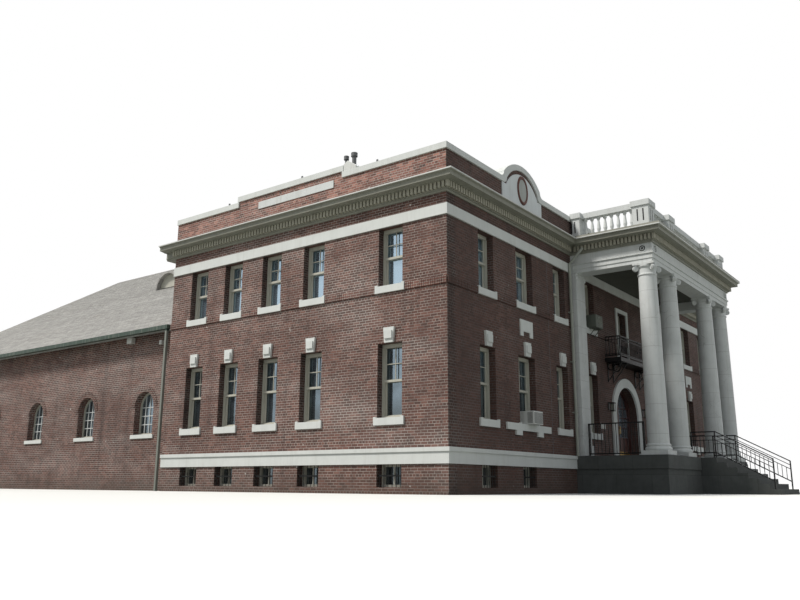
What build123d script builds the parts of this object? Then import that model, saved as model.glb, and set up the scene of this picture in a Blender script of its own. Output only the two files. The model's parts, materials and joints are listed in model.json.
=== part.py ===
"""An armory building: a two-storey brick head house with a columned portico, and a drill hall behind it.

Millimetres. +Z is up, the front faces -Y, and the origin is at ground level in the middle of the plan.
Heights are measured from the lowest ground that the walls meet.
"""

import os
from math import cos, exp, radians, sin, tan

from build123d import *

os.makedirs("parts", exist_ok=True)

# Head house, outside its brick faces
house_width = 24600
house_depth = 11650
wall_thickness = 400
parapet_thickness = 320

# Heights of the head house
water_table_bottom = 780
water_table_top = 1200
water_table_cap = 110
first_floor_top = 1250
second_floor_top = 4850
floor_thickness = 200
first_sill_top = 2020
first_head = 4080
second_sill_top = 5720
second_head = 7450
belt_height = 310
wall_top = 8100
cornice_height = 475
parapet_height = 805
parapet_rise = 200
coping_height = 180

# Stone trim
water_table_reach = 45
water_table_cap_reach = 80
belt_reach = 50
sill_height = 200
sill_reach = 60
sill_seat = 110
sill_ear = 90
sill_lug = 30
keystone_height = 430
keystone_top_width = 370
keystone_foot_width = 300
keystone_reach = 70
keystone_block_width = 260
keystone_block_reach = 110
keystone_block_levels = (110, 330)
coping_reach = 50

# Windows: places as shares of the side's depth and of the front wing's width, from the front corner
side_window_shares = (0.164, 0.418, 0.575, 0.730, 0.878)
wing_window_shares = (0.262, 0.559, 0.873)
porch_window_x = 3000
window_width = 850
wide_window_width = 1060
basement_width = 840
basement_bottom = 180
window_recess = 240
frame_depth = 110
frame_width = 65
glass_thickness = 12

# Long sill under the wide window with its two drops, and the stepped stone between the storeys
long_sill_width = 2770
long_sill_drop = 140
long_sill_drop_width = 350
long_sill_drop_spacing = 1350
stepped_stone_width = 800
stepped_stone_height = 510
stepped_stone_notch = 420
stepped_stone_notch_height = 150
stepped_stone_bottom = 4690
stepped_stone_reach = 35

# Cornice
cornice_reach = 460
corona_reach = 380
bed_mould_reach = 70
bed_mould_foot = 42
bed_mould_height = 90
dentil_height = 170
soffit_drop = 40
corona_height = 110

# Curved gable of the parapet over each wide window, an arch on two swept shoulders
gable_half_width = 1400
gable_rise = 710
gable_sweep = 200
side_panel_start = 3780
side_panel_end = 8400

# Portico
column_spacing = 2030
column_middle_gap = 4200
portico_reach = 2900
beam_width = 640
architrave_height = 290
lower_fascia_height = 130
taenia_height = 45
taenia_reach = 40
fascia_step = 25
porch_side_edge = 250
porch_front_edge = 150
porch_cap_reach = 40
ceiling_bottom = 7800

# Columns: heights of the base's parts, then how far each stands out from the shaft
plinth_side = 850
plinth_height = 140
lower_torus_height = 110
scotia_height = 30
upper_torus_height = 60
base_height = 360
lower_torus_reach = 51
lower_torus_bulge = 26
upper_torus_reach = 25
upper_torus_bulge = 20
shaft_foot_radius = 340
shaft_middle_radius = 321
shaft_neck_radius = 290
necking_reach = 25
necking_heights = (20, 60, 80)

# Capitals: a hollow-sided abacus on an echinus, with a spiral volute on each diagonal
capital_height = 430
abacus_height = 70
abacus_side = 720
abacus_hollow_radius = 1200
abacus_hollow_width = 600
echinus_reach = 45
echinus_height = 120
echinus_rim = 50
volute_radius = 110
volute_width = 100
volute_relief = 12
volute_turns = 1.6
volute_shrink = 0.115
volute_band = 0.24
volute_eye_radius = 24

pilaster_width = 700
pilaster_reach = 200
pilaster_base_reach = 40

# Balustrade over the portico
pedestal_side = 560
pedestal_cap_reach = 45
wall_pedestal_depth = 300
rail_height = 190
rail_width = 260
plinth_rail_height = 200
balustrade_height = 1060
baluster_spacing = 235
baluster_radius = 70
baluster_profile = ((1, 0), (1, 0.08), (0.55, 0.14), (1, 0.34), (0.5, 0.8), (0.9, 0.88), (1, 1))

# Front door
door_half_width = 1100
door_spring = 2800
arch_stone = 340
arch_stone_reach = 70
door_gap = 6
meeting_gap = 10
leaf_thickness = 50
leaf_stile = 110
leaf_panel_top = 2050
door_stop_width = 70
door_stop_depth = 60
door_stop_gap = 6
leaf_lift = 8
hinge_radius = 12
hinge_offset = 18
hinge_half_height = 50
hinge_plate = 50
hinge_clearance = 6
hinge_seat_gap = 0.3
hinge_levels = (1500, 2100, 2700)

# Door to the balcony
balcony_door_width = 900
balcony_door_head = 6800
balcony_stone = 140

# Balcony
balcony_half_width = 1800
balcony_reach = 620
balcony_top = 4830
balcony_thickness = 150
balcony_rail_height = 800
bracket_places = (-1600, -1100, 1100, 1600)
bracket_height = 720
bracket_reach = 560
bracket_width = 40
bracket_thickness = 32
bracket_scroll_radius = 150

# Front steps
step_count = 7
step_run = 320
landing_reach = 500
steps_half_width = 1380

# Iron railings
rail_section = 40
bar_section = 20
bar_spacing = 125
porch_rail_height = 1080
stair_rail_height = 880
rail_foot = 60
stair_rail_inset = 90
stair_rail_gap = 140

# Drill hall
bay_count = 6
bay_length = 3680
hall_inset = 450
hall_eave_reach = 400
roof_thickness = 180
roof_pitch = 31.2
roof_edge_height = 5730
hall_window_width = 1100
hall_window_sill = 1960
hall_window_spring = 2960
hall_pane_recess = 50
hall_floor_top = 250
gutter_size = 150
gutter_gap = 100
downspout_size = 90
downspout_gap = 200
verge_reach = 120

# Arched dormer on each slope
dormer_radius = 900
dormer_wall = 80
dormer_inset = 6700
dormer_bay = 2.6

# Derived plan
half_house = house_width / 2
inner_half = half_house - wall_thickness
hall_length = bay_count * bay_length
column_x = (column_middle_gap / 2, column_middle_gap / 2 + column_spacing)
beam_half = beam_width / 2
portico_half = column_x[1] + beam_half
porch_half = portico_half + porch_side_edge
porch_reach = portico_reach + porch_front_edge
riser = water_table_top / step_count
front_reach = porch_reach + landing_reach + (step_count - 1) * step_run
back_reach = house_depth + hall_length + verge_reach
front_y = (front_reach - back_reach) / 2
rear_y = front_y + house_depth
hall_end_y = rear_y + hall_length
cornice_top = wall_top + cornice_height
parapet_top = cornice_top + parapet_height
coping_top = parapet_top + coping_height
column_y = front_y - portico_reach + beam_half
architrave_bottom = second_head
inner_face_y = front_y + wall_thickness
half_hall = half_house - hall_inset
eave_half = half_hall + hall_eave_reach
slope = tan(radians(roof_pitch))
roof_drop = roof_thickness / cos(radians(roof_pitch))

FRONT = Plane(origin=(0, front_y, 0), x_dir=(1, 0, 0), z_dir=(0, -1, 0))
LEFT = Plane(origin=(-half_house, front_y, 0), x_dir=(0, -1, 0), z_dir=(-1, 0, 0))
HALL_LEFT = Plane(origin=(-half_hall, rear_y, 0), x_dir=(0, -1, 0), z_dir=(-1, 0, 0))


def write(name, part):
    """Labels a finished piece and writes it under its node's name."""
    part.label = name
    export_step(part, f"parts/{name}.step")


def mirrored(part):
    """The same piece on the other side of the building's middle plane."""
    with BuildPart() as other:
        mirror(part, about=Plane.YZ)
    return other.part


def block(x, y, z, mode=Mode.ADD):
    """A squared block between pairs of X, Y and Z values, in the builder that is open."""
    sizes = (x[1] - x[0], y[1] - y[0], z[1] - z[0])
    with Locations(((x[0] + x[1]) / 2, (y[0] + y[1]) / 2, (z[0] + z[1]) / 2)):
        Box(*sizes, mode=mode)


def rectangle(x, z, mode=Mode.ADD):
    """A rectangle between pairs of values, in the sketch that is open."""
    with Locations(((x[0] + x[1]) / 2, (z[0] + z[1]) / 2)):
        Rectangle(x[1] - x[0], z[1] - z[0], mode=mode)


def both_storeys(windows):
    """Centre, width, sill top and head on both storeys, for windows given by centre and width."""
    levels = ((first_sill_top, first_head), (second_sill_top, second_head))
    return [(centre, width, low, high) for centre, width in windows for low, high in levels]


side_places = [-share * house_depth for share in side_window_shares]
wing_places = [share * (half_house - portico_half) - half_house for share in wing_window_shares]
wide_window_x = wing_places[1]
side_openings = both_storeys([(place, window_width) for place in side_places])
front_openings = both_storeys(
    [
        (wing_places[0], window_width),
        (wide_window_x, wide_window_width),
        (wing_places[2], window_width),
        (-porch_window_x, window_width),
    ]
)
side_basement = [(place, basement_width, basement_bottom, water_table_bottom) for place in side_places]
front_basement = [
    (place, basement_width, basement_bottom, water_table_bottom) for place in wing_places[:2]
]


def cut_windows(windows):
    """Cuts window rectangles from the elevation sketch that is open."""
    for centre, width, low, high in windows:
        rectangle((centre - width / 2, centre + width / 2), (low, high), mode=Mode.SUBTRACT)


def cut_sill_seats(plane, windows):
    """Cuts the seats of the window sills into the wall that is open."""
    with BuildSketch(plane.offset(-sill_seat)) as seats:
        for centre, width, low, _ in windows:
            reach = width / 2 + sill_ear
            rectangle((centre - reach, centre + reach), (low - sill_height, low))
    extrude(seats.sketch, amount=sill_seat, mode=Mode.SUBTRACT)


# Walls of the head house
with BuildPart() as left_wall:
    with BuildSketch(LEFT):
        rectangle((-house_depth, 0), (0, wall_top))
        cut_windows(side_openings + side_basement)
    extrude(amount=-wall_thickness)
    cut_sill_seats(LEFT, side_openings)

with BuildPart() as front_left_wall:
    with BuildSketch(FRONT):
        rectangle((-inner_half, -door_half_width), (0, wall_top))
        cut_windows(front_openings + front_basement)
    extrude(amount=-wall_thickness)
    cut_sill_seats(FRONT, front_openings)

with BuildPart() as over_door_wall:
    with BuildSketch(FRONT):
        rectangle((-door_half_width, door_half_width), (door_spring, wall_top))
        with Locations((0, door_spring)):
            Circle(door_half_width, mode=Mode.SUBTRACT)
        rectangle(
            (-balcony_door_width / 2, balcony_door_width / 2),
            (second_floor_top, balcony_door_head),
            mode=Mode.SUBTRACT,
        )
    extrude(amount=-wall_thickness)

with BuildPart() as door_sill:
    block((-door_half_width, door_half_width), (front_y, inner_face_y), (0, first_floor_top))

hall_ridge = roof_edge_height + eave_half * slope
with BuildPart() as rear_wall:
    with BuildSketch(Plane(origin=(0, rear_y, 0), x_dir=(1, 0, 0), z_dir=(0, -1, 0))):
        rectangle((-inner_half, inner_half), (0, parapet_top))
        shoulder = (hall_ridge - parapet_top) / slope
        with BuildLine():
            Polyline(
                (-shoulder, parapet_top), (shoulder, parapet_top), (0, hall_ridge), close=True
            )
        make_face()
    extrude(amount=wall_thickness)

write("left_wall", left_wall.part)
write("right_wall", mirrored(left_wall.part))
write("front_left_wall", front_left_wall.part)
write("front_right_wall", mirrored(front_left_wall.part))
write("over_door_wall", over_door_wall.part)
write("door_sill", door_sill.part)
write("rear_wall", rear_wall.part)

# Floors and flat roof of the head house
inner_rear_y = rear_y - wall_thickness
for name, top in (
    ("first_floor", first_floor_top),
    ("second_floor", second_floor_top),
    ("roof_deck", wall_top + floor_thickness),
):
    with BuildPart() as floor:
        block(
            (-inner_half, inner_half), (inner_face_y, inner_rear_y), (top - floor_thickness, top)
        )
    write(name, floor.part)


def side_strip(x, z):
    """A strip on the left face, from the front face's own strip to the rear corner."""
    block((-half_house - x, -half_house), (front_y - x, rear_y), z)


# Water table: a band with a cap, stopped by the porch
with BuildPart() as water_table:
    band = (water_table_bottom, water_table_top - water_table_cap)
    cap = (water_table_top - water_table_cap, water_table_top)
    for reach, height in ((water_table_reach, band), (water_table_cap_reach, cap)):
        side_strip(reach, height)
        block((-half_house - reach, -porch_half), (front_y - reach, front_y), height)
    mirror(about=Plane.YZ)
write("water_table", water_table.part)

# Belt course over the second-storey windows
with BuildPart() as belt_course:
    height = (second_head, second_head + belt_height)
    side_strip(belt_reach, height)
    block((-half_house - belt_reach, 0), (front_y - belt_reach, front_y), height)
    block(
        (-portico_half - taenia_reach, -portico_half + beam_width),
        (front_y - belt_reach, front_y),
        height,
        mode=Mode.SUBTRACT,
    )
    block(
        (-balcony_door_width / 2 - balcony_stone, 0),
        (front_y - belt_reach, front_y),
        (second_floor_top, balcony_door_head + balcony_stone),
        mode=Mode.SUBTRACT,
    )
    mirror(about=Plane.YZ)
write("belt_course", belt_course.part)


def sills(plane, windows):
    """Stone sills, seated in the wall, with a raised lug at each end."""
    with BuildSketch(plane.offset(sill_reach)) as fronts:
        for centre, width, low, _ in windows:
            reach = width / 2 + sill_ear
            rectangle((centre - reach, centre + reach), (low - sill_height, low))
    extrude(fronts.sketch, amount=-sill_reach - sill_seat)
    with BuildSketch(plane) as lugs:
        for centre, width, low, _ in windows:
            for end in (centre - width / 2 - sill_ear, centre + width / 2):
                rectangle((end, end + sill_ear), (low - sill_lug, low + sill_lug))
    extrude(lugs.sketch, amount=sill_reach)


def keystones(plane, windows):
    """Tapered keystones over the first-storey windows, each with a narrower block standing proud."""
    crowns = [(centre, high) for centre, _, _, high in windows if high == first_head]
    with BuildSketch(plane) as fronts:
        for centre, high in crowns:
            with BuildLine():
                Polyline(
                    (centre - keystone_foot_width / 2, high),
                    (centre + keystone_foot_width / 2, high),
                    (centre + keystone_top_width / 2, high + keystone_height),
                    (centre - keystone_top_width / 2, high + keystone_height),
                    close=True,
                )
            make_face()
    extrude(fronts.sketch, amount=keystone_reach)
    with BuildSketch(plane) as blocks:
        for centre, high in crowns:
            half = keystone_block_width / 2
            low, top = keystone_block_levels
            rectangle((centre - half, centre + half), (high + low, high + top))
    extrude(blocks.sketch, amount=keystone_block_reach)


def long_sill():
    """The wide window's long sill with its drops."""
    low = first_sill_top - sill_height
    half = long_sill_width / 2
    with BuildSketch(FRONT) as fronts:
        rectangle((wide_window_x - half, wide_window_x + half), (low, first_sill_top))
        for side in (-1, 1):
            middle = wide_window_x + side * long_sill_drop_spacing / 2
            half = long_sill_drop_width / 2
            rectangle((middle - half, middle + half), (low - long_sill_drop, low))
    extrude(fronts.sketch, amount=sill_reach)


def stepped_stone():
    """The stone between the wide windows, notched from below."""
    half = stepped_stone_width / 2
    notch = stepped_stone_notch / 2
    low = stepped_stone_bottom
    with BuildSketch(FRONT) as front:
        rectangle((wide_window_x - half, wide_window_x + half), (low, low + stepped_stone_height))
        rectangle(
            (wide_window_x - notch, wide_window_x + notch),
            (low, low + stepped_stone_notch_height),
            mode=Mode.SUBTRACT,
        )
    extrude(front.sketch, amount=stepped_stone_reach)


with BuildPart() as window_stones:
    sills(LEFT, side_openings)
    keystones(LEFT, side_openings)
    sills(FRONT, front_openings)
    keystones(FRONT, front_openings)
    long_sill()
    stepped_stone()
    mirror(about=Plane.YZ)
write("sills_and_keystones", window_stones.part)


def window_frames(plane, windows):
    """Frames and meeting rails, set back in the openings."""
    with BuildSketch(plane.offset(-window_recess)) as fronts:
        for centre, width, low, high in windows:
            x = (centre - width / 2, centre + width / 2)
            rectangle(x, (low, high))
            middle = (low + high) / 2
            panes = (
                (low + frame_width, middle - frame_width / 2),
                (middle + frame_width / 2, high - frame_width),
            )
            if high == water_table_bottom:
                panes = ((low + frame_width, high - frame_width),)
            for pane in panes:
                rectangle((x[0] + frame_width, x[1] - frame_width), pane, mode=Mode.SUBTRACT)
    extrude(fronts.sketch, amount=-frame_depth)


def window_glass(plane, windows):
    """One sheet of glass behind each frame's rails."""
    with BuildSketch(plane.offset(-window_recess - frame_depth)) as sheets:
        for centre, width, low, high in windows:
            rectangle((centre - width / 2, centre + width / 2), (low, high))
    extrude(sheets.sketch, amount=-glass_thickness)


balcony_opening = [(0, balcony_door_width, second_floor_top, balcony_door_head)]
with BuildPart() as left_window_frames:
    window_frames(LEFT, side_openings + side_basement)
with BuildPart() as front_window_frames:
    window_frames(FRONT, front_openings + front_basement)
    mirror(about=Plane.YZ)
    window_frames(FRONT, balcony_opening)
with BuildPart() as glass_sheets:
    window_glass(LEFT, side_openings + side_basement)
    window_glass(FRONT, front_openings + front_basement)
    mirror(about=Plane.YZ)
    window_glass(FRONT, balcony_opening)
write("left_window_frames", left_window_frames.part)
write("right_window_frames", mirrored(left_window_frames.part))
write("front_window_frames", front_window_frames.part)
write("window_glass", glass_sheets.part)


def cornice_section():
    """Half section of the cornice: wall face at x = 0, outwards +x, with the wall top at y = 0."""
    bed = bed_mould_height
    dentil_top = bed + dentil_height
    corona = dentil_top + soffit_drop
    with BuildLine() as outline:
        Polyline(
            (-wall_thickness, 0),
            (bed_mould_foot, 0),
            (bed_mould_reach, bed),
            (bed_mould_reach, dentil_top),
            (corona_reach, corona),
            (corona_reach, corona + corona_height),
            (cornice_reach, cornice_height),
            (-wall_thickness, cornice_height),
            close=True,
        )
    make_face(outline.edges())


def cornice_wedge(x, y, along_x):
    """Half of the square corner outside (x, y), cut on its diagonal, to take off a cornice's end."""
    reach = cornice_reach
    turn = (x - reach, y) if along_x else (x, y - reach)
    with BuildSketch(Plane.XY.offset(wall_top)) as corner:
        with BuildLine():
            Polyline((x, y), turn, (x - reach, y - reach), close=True)
        make_face()
    return extrude(corner.sketch, amount=cornice_height, mode=Mode.PRIVATE)


rear_return = cornice_reach
with BuildPart() as left_cornice:
    section = Plane(
        origin=(-half_house, front_y - cornice_reach, wall_top), x_dir=(-1, 0, 0), z_dir=(0, 1, 0)
    )
    with BuildSketch(section):
        cornice_section()
    extrude(amount=house_depth + rear_return + cornice_reach)
    split(bisect_by=Plane(origin=(-half_house, front_y, 0), z_dir=(1, -1, 0)), keep=Keep.BOTTOM)

with BuildPart() as front_left_cornice:
    section = Plane(origin=(-portico_half, front_y, wall_top), x_dir=(0, -1, 0), z_dir=(-1, 0, 0))
    with BuildSketch(section):
        cornice_section()
    extrude(amount=half_house + cornice_reach - portico_half)
    split(bisect_by=Plane(origin=(-half_house, front_y, 0), z_dir=(1, -1, 0)), keep=Keep.TOP)
    add(cornice_wedge(-portico_half, front_y, along_x=False), mode=Mode.SUBTRACT)

write("left_cornice", left_cornice.part)
write("right_cornice", mirrored(left_cornice.part))
write("front_left_cornice", front_left_cornice.part)
write("front_right_cornice", mirrored(front_left_cornice.part))

# Parapets: the side ones have a raised middle, the front one a curved gable on each side
with BuildPart() as left_parapet:
    with BuildSketch(LEFT):
        rectangle((-house_depth, 0), (cornice_top, parapet_top))
        rectangle((-side_panel_end, -side_panel_start), (parapet_top, parapet_top + parapet_rise))
    extrude(amount=-parapet_thickness)

inner_parapet = half_house - parapet_thickness


def gables(inset, mode=Mode.ADD):
    """Both gables in the sketch that is open, drawn in by inset from the coping's outer edge."""
    foot = gable_half_width - inset
    shoulder = foot - gable_sweep
    low = coping_top - inset
    level = low + gable_sweep
    hollow = gable_sweep * (1 - cos(radians(45)))
    for middle in (wide_window_x, -wide_window_x):
        with BuildLine() as outline:
            Line((middle - foot, cornice_top), (middle + foot, cornice_top))
            for side in (-1, 1):
                Line((middle + side * foot, cornice_top), (middle + side * foot, low))
                ThreePointArc(
                    (middle + side * foot, low),
                    (middle + side * (shoulder + hollow), low + hollow),
                    (middle + side * shoulder, level),
                )
            ThreePointArc(
                (middle - shoulder, level),
                (middle, coping_top + gable_rise - inset),
                (middle + shoulder, level),
            )
        make_face(outline.edges(), mode=mode)


with BuildPart() as front_parapet:
    with BuildSketch(FRONT):
        rectangle((-inner_parapet, inner_parapet), (cornice_top, parapet_top))
        gables(coping_height)
        rectangle((-portico_half, portico_half), (wall_top, cornice_top))
    extrude(amount=-parapet_thickness)

write("left_parapet", left_parapet.part)
write("right_parapet", mirrored(left_parapet.part))
write("front_parapet", front_parapet.part)

# Copings
with BuildPart() as side_copings:
    x = (-half_house - coping_reach, -half_house + parapet_thickness + coping_reach)
    ends = (front_y - coping_reach, rear_y)
    step_y = (front_y + side_panel_start - coping_reach, front_y + side_panel_end + coping_reach)
    block(x, (ends[0], step_y[0]), (parapet_top, coping_top))
    block(x, (step_y[1], ends[1]), (parapet_top, coping_top))
    raised = parapet_top + parapet_rise
    block(x, step_y, (raised, raised + coping_height))
    for y in (
        (step_y[0], front_y + side_panel_start),
        (front_y + side_panel_end, step_y[1]),
    ):
        block(x, y, (parapet_top, raised))
    mirror(about=Plane.YZ)
write("side_copings", side_copings.part)

with BuildPart() as front_coping:
    with BuildSketch(FRONT.offset(coping_reach)):
        edge = inner_parapet - coping_reach
        rectangle((-edge, edge), (parapet_top, coping_top))
        gables(0)
        gables(coping_height, mode=Mode.SUBTRACT)
        rectangle((-half_house, half_house), (0, parapet_top), mode=Mode.SUBTRACT)
    extrude(amount=-parapet_thickness - 2 * coping_reach)

write("front_coping", front_coping.part)

# Porch: a stone base with a cap course, and the front steps
porch_y = front_y - porch_reach
porch_cap_bottom = water_table_bottom
with BuildPart() as porch_base:
    half = porch_half - porch_cap_reach
    block((-half, half), (porch_y + porch_cap_reach, front_y), (0, porch_cap_bottom))
    block((-porch_half, porch_half), (porch_y, front_y), (porch_cap_bottom, water_table_top))

with BuildPart() as front_steps:
    with BuildSketch(Plane(origin=(-steps_half_width, 0, 0), x_dir=(0, 1, 0), z_dir=(1, 0, 0))):
        with BuildLine():
            points = [
                (porch_y + porch_cap_reach, 0),
                (porch_y + porch_cap_reach, porch_cap_bottom),
                (porch_y, porch_cap_bottom),
                (porch_y, water_table_top),
            ]
            for step in range(step_count):
                nosing_y = porch_y - landing_reach - step * step_run
                level = water_table_top - step * riser
                points += [(nosing_y, level), (nosing_y, level - riser)]
            Polyline(*points, close=True)
        make_face()
    extrude(amount=2 * steps_half_width)

write("porch_base", porch_base.part)
write("front_steps", front_steps.part)


def bulge(radius, low, height, reach):
    """A half-round moulding in the line that is open, standing out by reach at its middle."""
    ThreePointArc((radius, low), (radius + reach, low + height / 2), (radius, low + height))


# Columns: plinth, base of two half-rounds, tapered shaft and a necking, up to the capital
capital_bottom = architrave_bottom - capital_height
neck_top = architrave_bottom - abacus_height - echinus_height
with BuildPart() as column:
    with Locations((0, 0, water_table_top + plinth_height / 2)):
        Box(plinth_side, plinth_side, plinth_height)
    with BuildSketch(Plane.XZ) as profile:
        with BuildLine():
            lower = shaft_foot_radius + lower_torus_reach
            upper = shaft_foot_radius + upper_torus_reach
            lower_foot = water_table_top + plinth_height
            lower_top = lower_foot + lower_torus_height
            upper_foot = lower_top + scotia_height
            upper_top = upper_foot + upper_torus_height
            ring_reach = shaft_neck_radius + necking_reach
            Polyline((0, neck_top), (0, lower_foot), (lower, lower_foot))
            bulge(lower, lower_foot, lower_torus_height, lower_torus_bulge)
            Polyline((lower, lower_top), (upper, lower_top), (upper, upper_foot))
            bulge(upper, upper_foot, upper_torus_height, upper_torus_bulge)
            Line((upper, upper_top), (shaft_foot_radius, water_table_top + base_height))
            ThreePointArc(
                (shaft_foot_radius, water_table_top + base_height),
                (shaft_middle_radius, (water_table_top + base_height + capital_bottom) / 2),
                (shaft_neck_radius, capital_bottom),
            )
            Polyline(
                (shaft_neck_radius, capital_bottom),
                (ring_reach, capital_bottom + necking_heights[0]),
                (ring_reach, capital_bottom + necking_heights[1]),
                (shaft_neck_radius, capital_bottom + necking_heights[2]),
                (shaft_neck_radius, neck_top),
                (0, neck_top),
            )
        make_face()
    revolve(profile.sketch, axis=Axis.Z)

column_places = (-column_x[1], -column_x[0], column_x[0], column_x[1])
for number, x in enumerate(column_places, start=1):
    write(f"column_{number}", column.part.moved(Location((x, column_y, 0))))


def spiral(start, inset):
    """Edge of a volute's band: a spiral that shrinks steadily, with its radius cut down by inset."""
    steps = round(volute_turns * 8)
    points = []
    for step in range(steps + 1):
        angle = start + radians(45) * step
        radius = volute_radius * exp(-volute_shrink * radians(45) * step) * (1 - inset)
        points.append((radius * cos(angle), radius * sin(angle)))
    return Spline(*points)


with BuildPart() as volute:
    with BuildSketch(Plane.XZ):
        Circle(volute_radius * (1 - volute_band / 2))
    extrude(amount=volute_width / 2 - volute_relief, both=True)
    with BuildSketch(Plane.XZ):
        with BuildLine() as band:
            outer = spiral(radians(90), 0)
            inner = spiral(radians(90), volute_band)
            Line(outer @ 0, inner @ 0)
            Line(outer @ 1, inner @ 1)
        make_face()
        Circle(volute_eye_radius)
    extrude(amount=volute_width / 2, both=True)

# Capital: echinus, four volutes on the diagonals and an abacus with hollow sides
abacus_bottom = architrave_bottom - abacus_height
volute_distance = abacus_side / 2**0.5 - volute_radius
hollow_distance = abacus_side / 2 + (abacus_hollow_radius**2 - abacus_hollow_width**2 / 4) ** 0.5
with BuildPart() as capital:
    with BuildSketch(Plane.XZ) as profile:
        with BuildLine():
            rim = shaft_neck_radius + echinus_reach
            Polyline(
                (0, neck_top),
                (shaft_neck_radius, neck_top),
                (rim, abacus_bottom - echinus_rim),
                (rim, abacus_bottom),
                (0, abacus_bottom),
                close=True,
            )
        make_face()
    revolve(profile.sketch, axis=Axis.Z)
    with BuildSketch(Plane.XY.offset(abacus_bottom)) as plan:
        Rectangle(abacus_side, abacus_side)
        with PolarLocations(hollow_distance, 4):
            Circle(abacus_hollow_radius, mode=Mode.SUBTRACT)
    extrude(plan.sketch, amount=abacus_height)
    with Locations((0, 0, abacus_bottom - volute_radius)):
        with PolarLocations(volute_distance, 4, start_angle=45):
            add(volute.part)

with BuildPart() as capitals:
    for x in column_places:
        add(capital.part.moved(Location((x, column_y, 0))))
write("capitals", capitals.part)

with BuildPart() as pilasters:
    x = -column_x[1]
    half = pilaster_width / 2
    face_y = front_y - pilaster_reach
    edge = half + pilaster_base_reach
    foot_y = face_y - pilaster_base_reach
    block((x - half, x + half), (face_y, front_y), (water_table_top, architrave_bottom))
    block((x - edge, x + edge), (foot_y, front_y), (water_table_top, water_table_top + base_height))
    add(capital.part.moved(Location((x, foot_y + abacus_side / 2, 0))))
    block(
        (x - abacus_side, x + abacus_side),
        (front_y, front_y + abacus_side),
        (capital_bottom, architrave_bottom),
        mode=Mode.SUBTRACT,
    )
    mirror(about=Plane.YZ)
write("pilasters", pilasters.part)


def portico_ring(reach, low, high, mode=Mode.ADD):
    """A layer of the portico's plan, pushed out by reach on its three free sides."""
    block(
        (-portico_half - reach, portico_half + reach),
        (front_y - portico_reach - reach, front_y),
        (low, high),
        mode=mode,
    )


# Entablature: two fasciae, a taenia and a plain frieze on three sides
with BuildPart() as entablature:
    taenia_bottom = architrave_bottom + architrave_height
    step = architrave_bottom + lower_fascia_height
    portico_ring(-fascia_step, architrave_bottom, step)
    portico_ring(0, step, wall_top)
    portico_ring(taenia_reach, taenia_bottom, taenia_bottom + taenia_height)
    block(
        (-portico_half + beam_width, portico_half - beam_width),
        (front_y - portico_reach + beam_width, front_y),
        (architrave_bottom, wall_top),
        mode=Mode.SUBTRACT,
    )
write("entablature", entablature.part)

# Cornice of the portico, mitred at its corner and against the house's own
portico_front_y = front_y - portico_reach

with BuildPart() as portico_side_cornice:
    with BuildSketch(
        Plane(
            origin=(-portico_half, portico_front_y - cornice_reach, wall_top),
            x_dir=(-1, 0, 0),
            z_dir=(0, 1, 0),
        )
    ):
        cornice_section()
    extrude(amount=portico_reach + cornice_reach)
    add(cornice_wedge(-portico_half, portico_front_y, along_x=False), mode=Mode.SUBTRACT)
    add(cornice_wedge(-portico_half, front_y, along_x=True), mode=Mode.SUBTRACT)

with BuildPart() as portico_front_cornice:
    with BuildSketch(
        Plane(origin=(0, portico_front_y, wall_top), x_dir=(0, -1, 0), z_dir=(-1, 0, 0))
    ):
        cornice_section()
    extrude(amount=portico_half + cornice_reach)
    add(cornice_wedge(-portico_half, portico_front_y, along_x=True), mode=Mode.SUBTRACT)

# Roof of the portico: the cornice on three sides, with the ceiling under it
with BuildPart() as portico_roof:
    block((-portico_half, 0), (portico_front_y, front_y), (wall_top, cornice_top))
    add(portico_side_cornice.part)
    add(portico_front_cornice.part)
    block(
        (-portico_half + beam_width, 0),
        (portico_front_y + beam_width, front_y),
        (ceiling_bottom, wall_top),
    )
    mirror(about=Plane.YZ)
write("portico_roof", portico_roof.part)


# Balustrade over the portico: rails and balusters between capped pedestals
rail_top = cornice_top + balustrade_height
rail_bottom = rail_top - rail_height
plinth_top = cornice_top + plinth_rail_height


def baluster_at(x, y, low, high):
    """A turned baluster, vase-shaped."""
    with BuildSketch(Plane(origin=(x, y, low), x_dir=(1, 0, 0), z_dir=(0, -1, 0))) as profile:
        with BuildLine():
            turned = [(baluster_radius * r, (high - low) * z) for r, z in baluster_profile]
            Polyline((0, 0), *turned, (0, high - low), close=True)
        make_face()
    revolve(profile.sketch, axis=Axis((x, y, 0), (0, 0, 1)))


def pedestal(x, y):
    """A pedestal of the balustrade between pairs of X and Y values, capped at the rail's height."""
    cap = pedestal_cap_reach
    block(x, y, (cornice_top, rail_bottom))
    block((x[0] - cap, x[1] + cap), (y[0] - cap, y[1] + cap), (rail_bottom, rail_top))


def spaced(start, end, spacing):
    """Even places between two ends, near the wished spacing, half a space from each end."""
    count = max(1, round((end - start) / spacing))
    return [start + (end - start) * (number + 0.5) / count for number in range(count)]


half_rail = rail_width / 2
half_pedestal = pedestal_side / 2

with BuildPart() as front_balustrade:
    for x in column_places:
        pedestal(
            (x - half_pedestal, x + half_pedestal), (column_y - half_pedestal, column_y + half_pedestal)
        )
    for start, end in (
        (-column_x[1], -column_x[0]),
        (-column_x[0], column_x[0]),
        (column_x[0], column_x[1]),
    ):
        span = (start + half_pedestal, end - half_pedestal)
        for z in ((cornice_top, plinth_top), (rail_bottom, rail_top)):
            block(span, (column_y - half_rail, column_y + half_rail), z)
        for x in spaced(*span, baluster_spacing):
            baluster_at(x, column_y, plinth_top, rail_bottom)
write("front_balustrade", front_balustrade.part)

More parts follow.
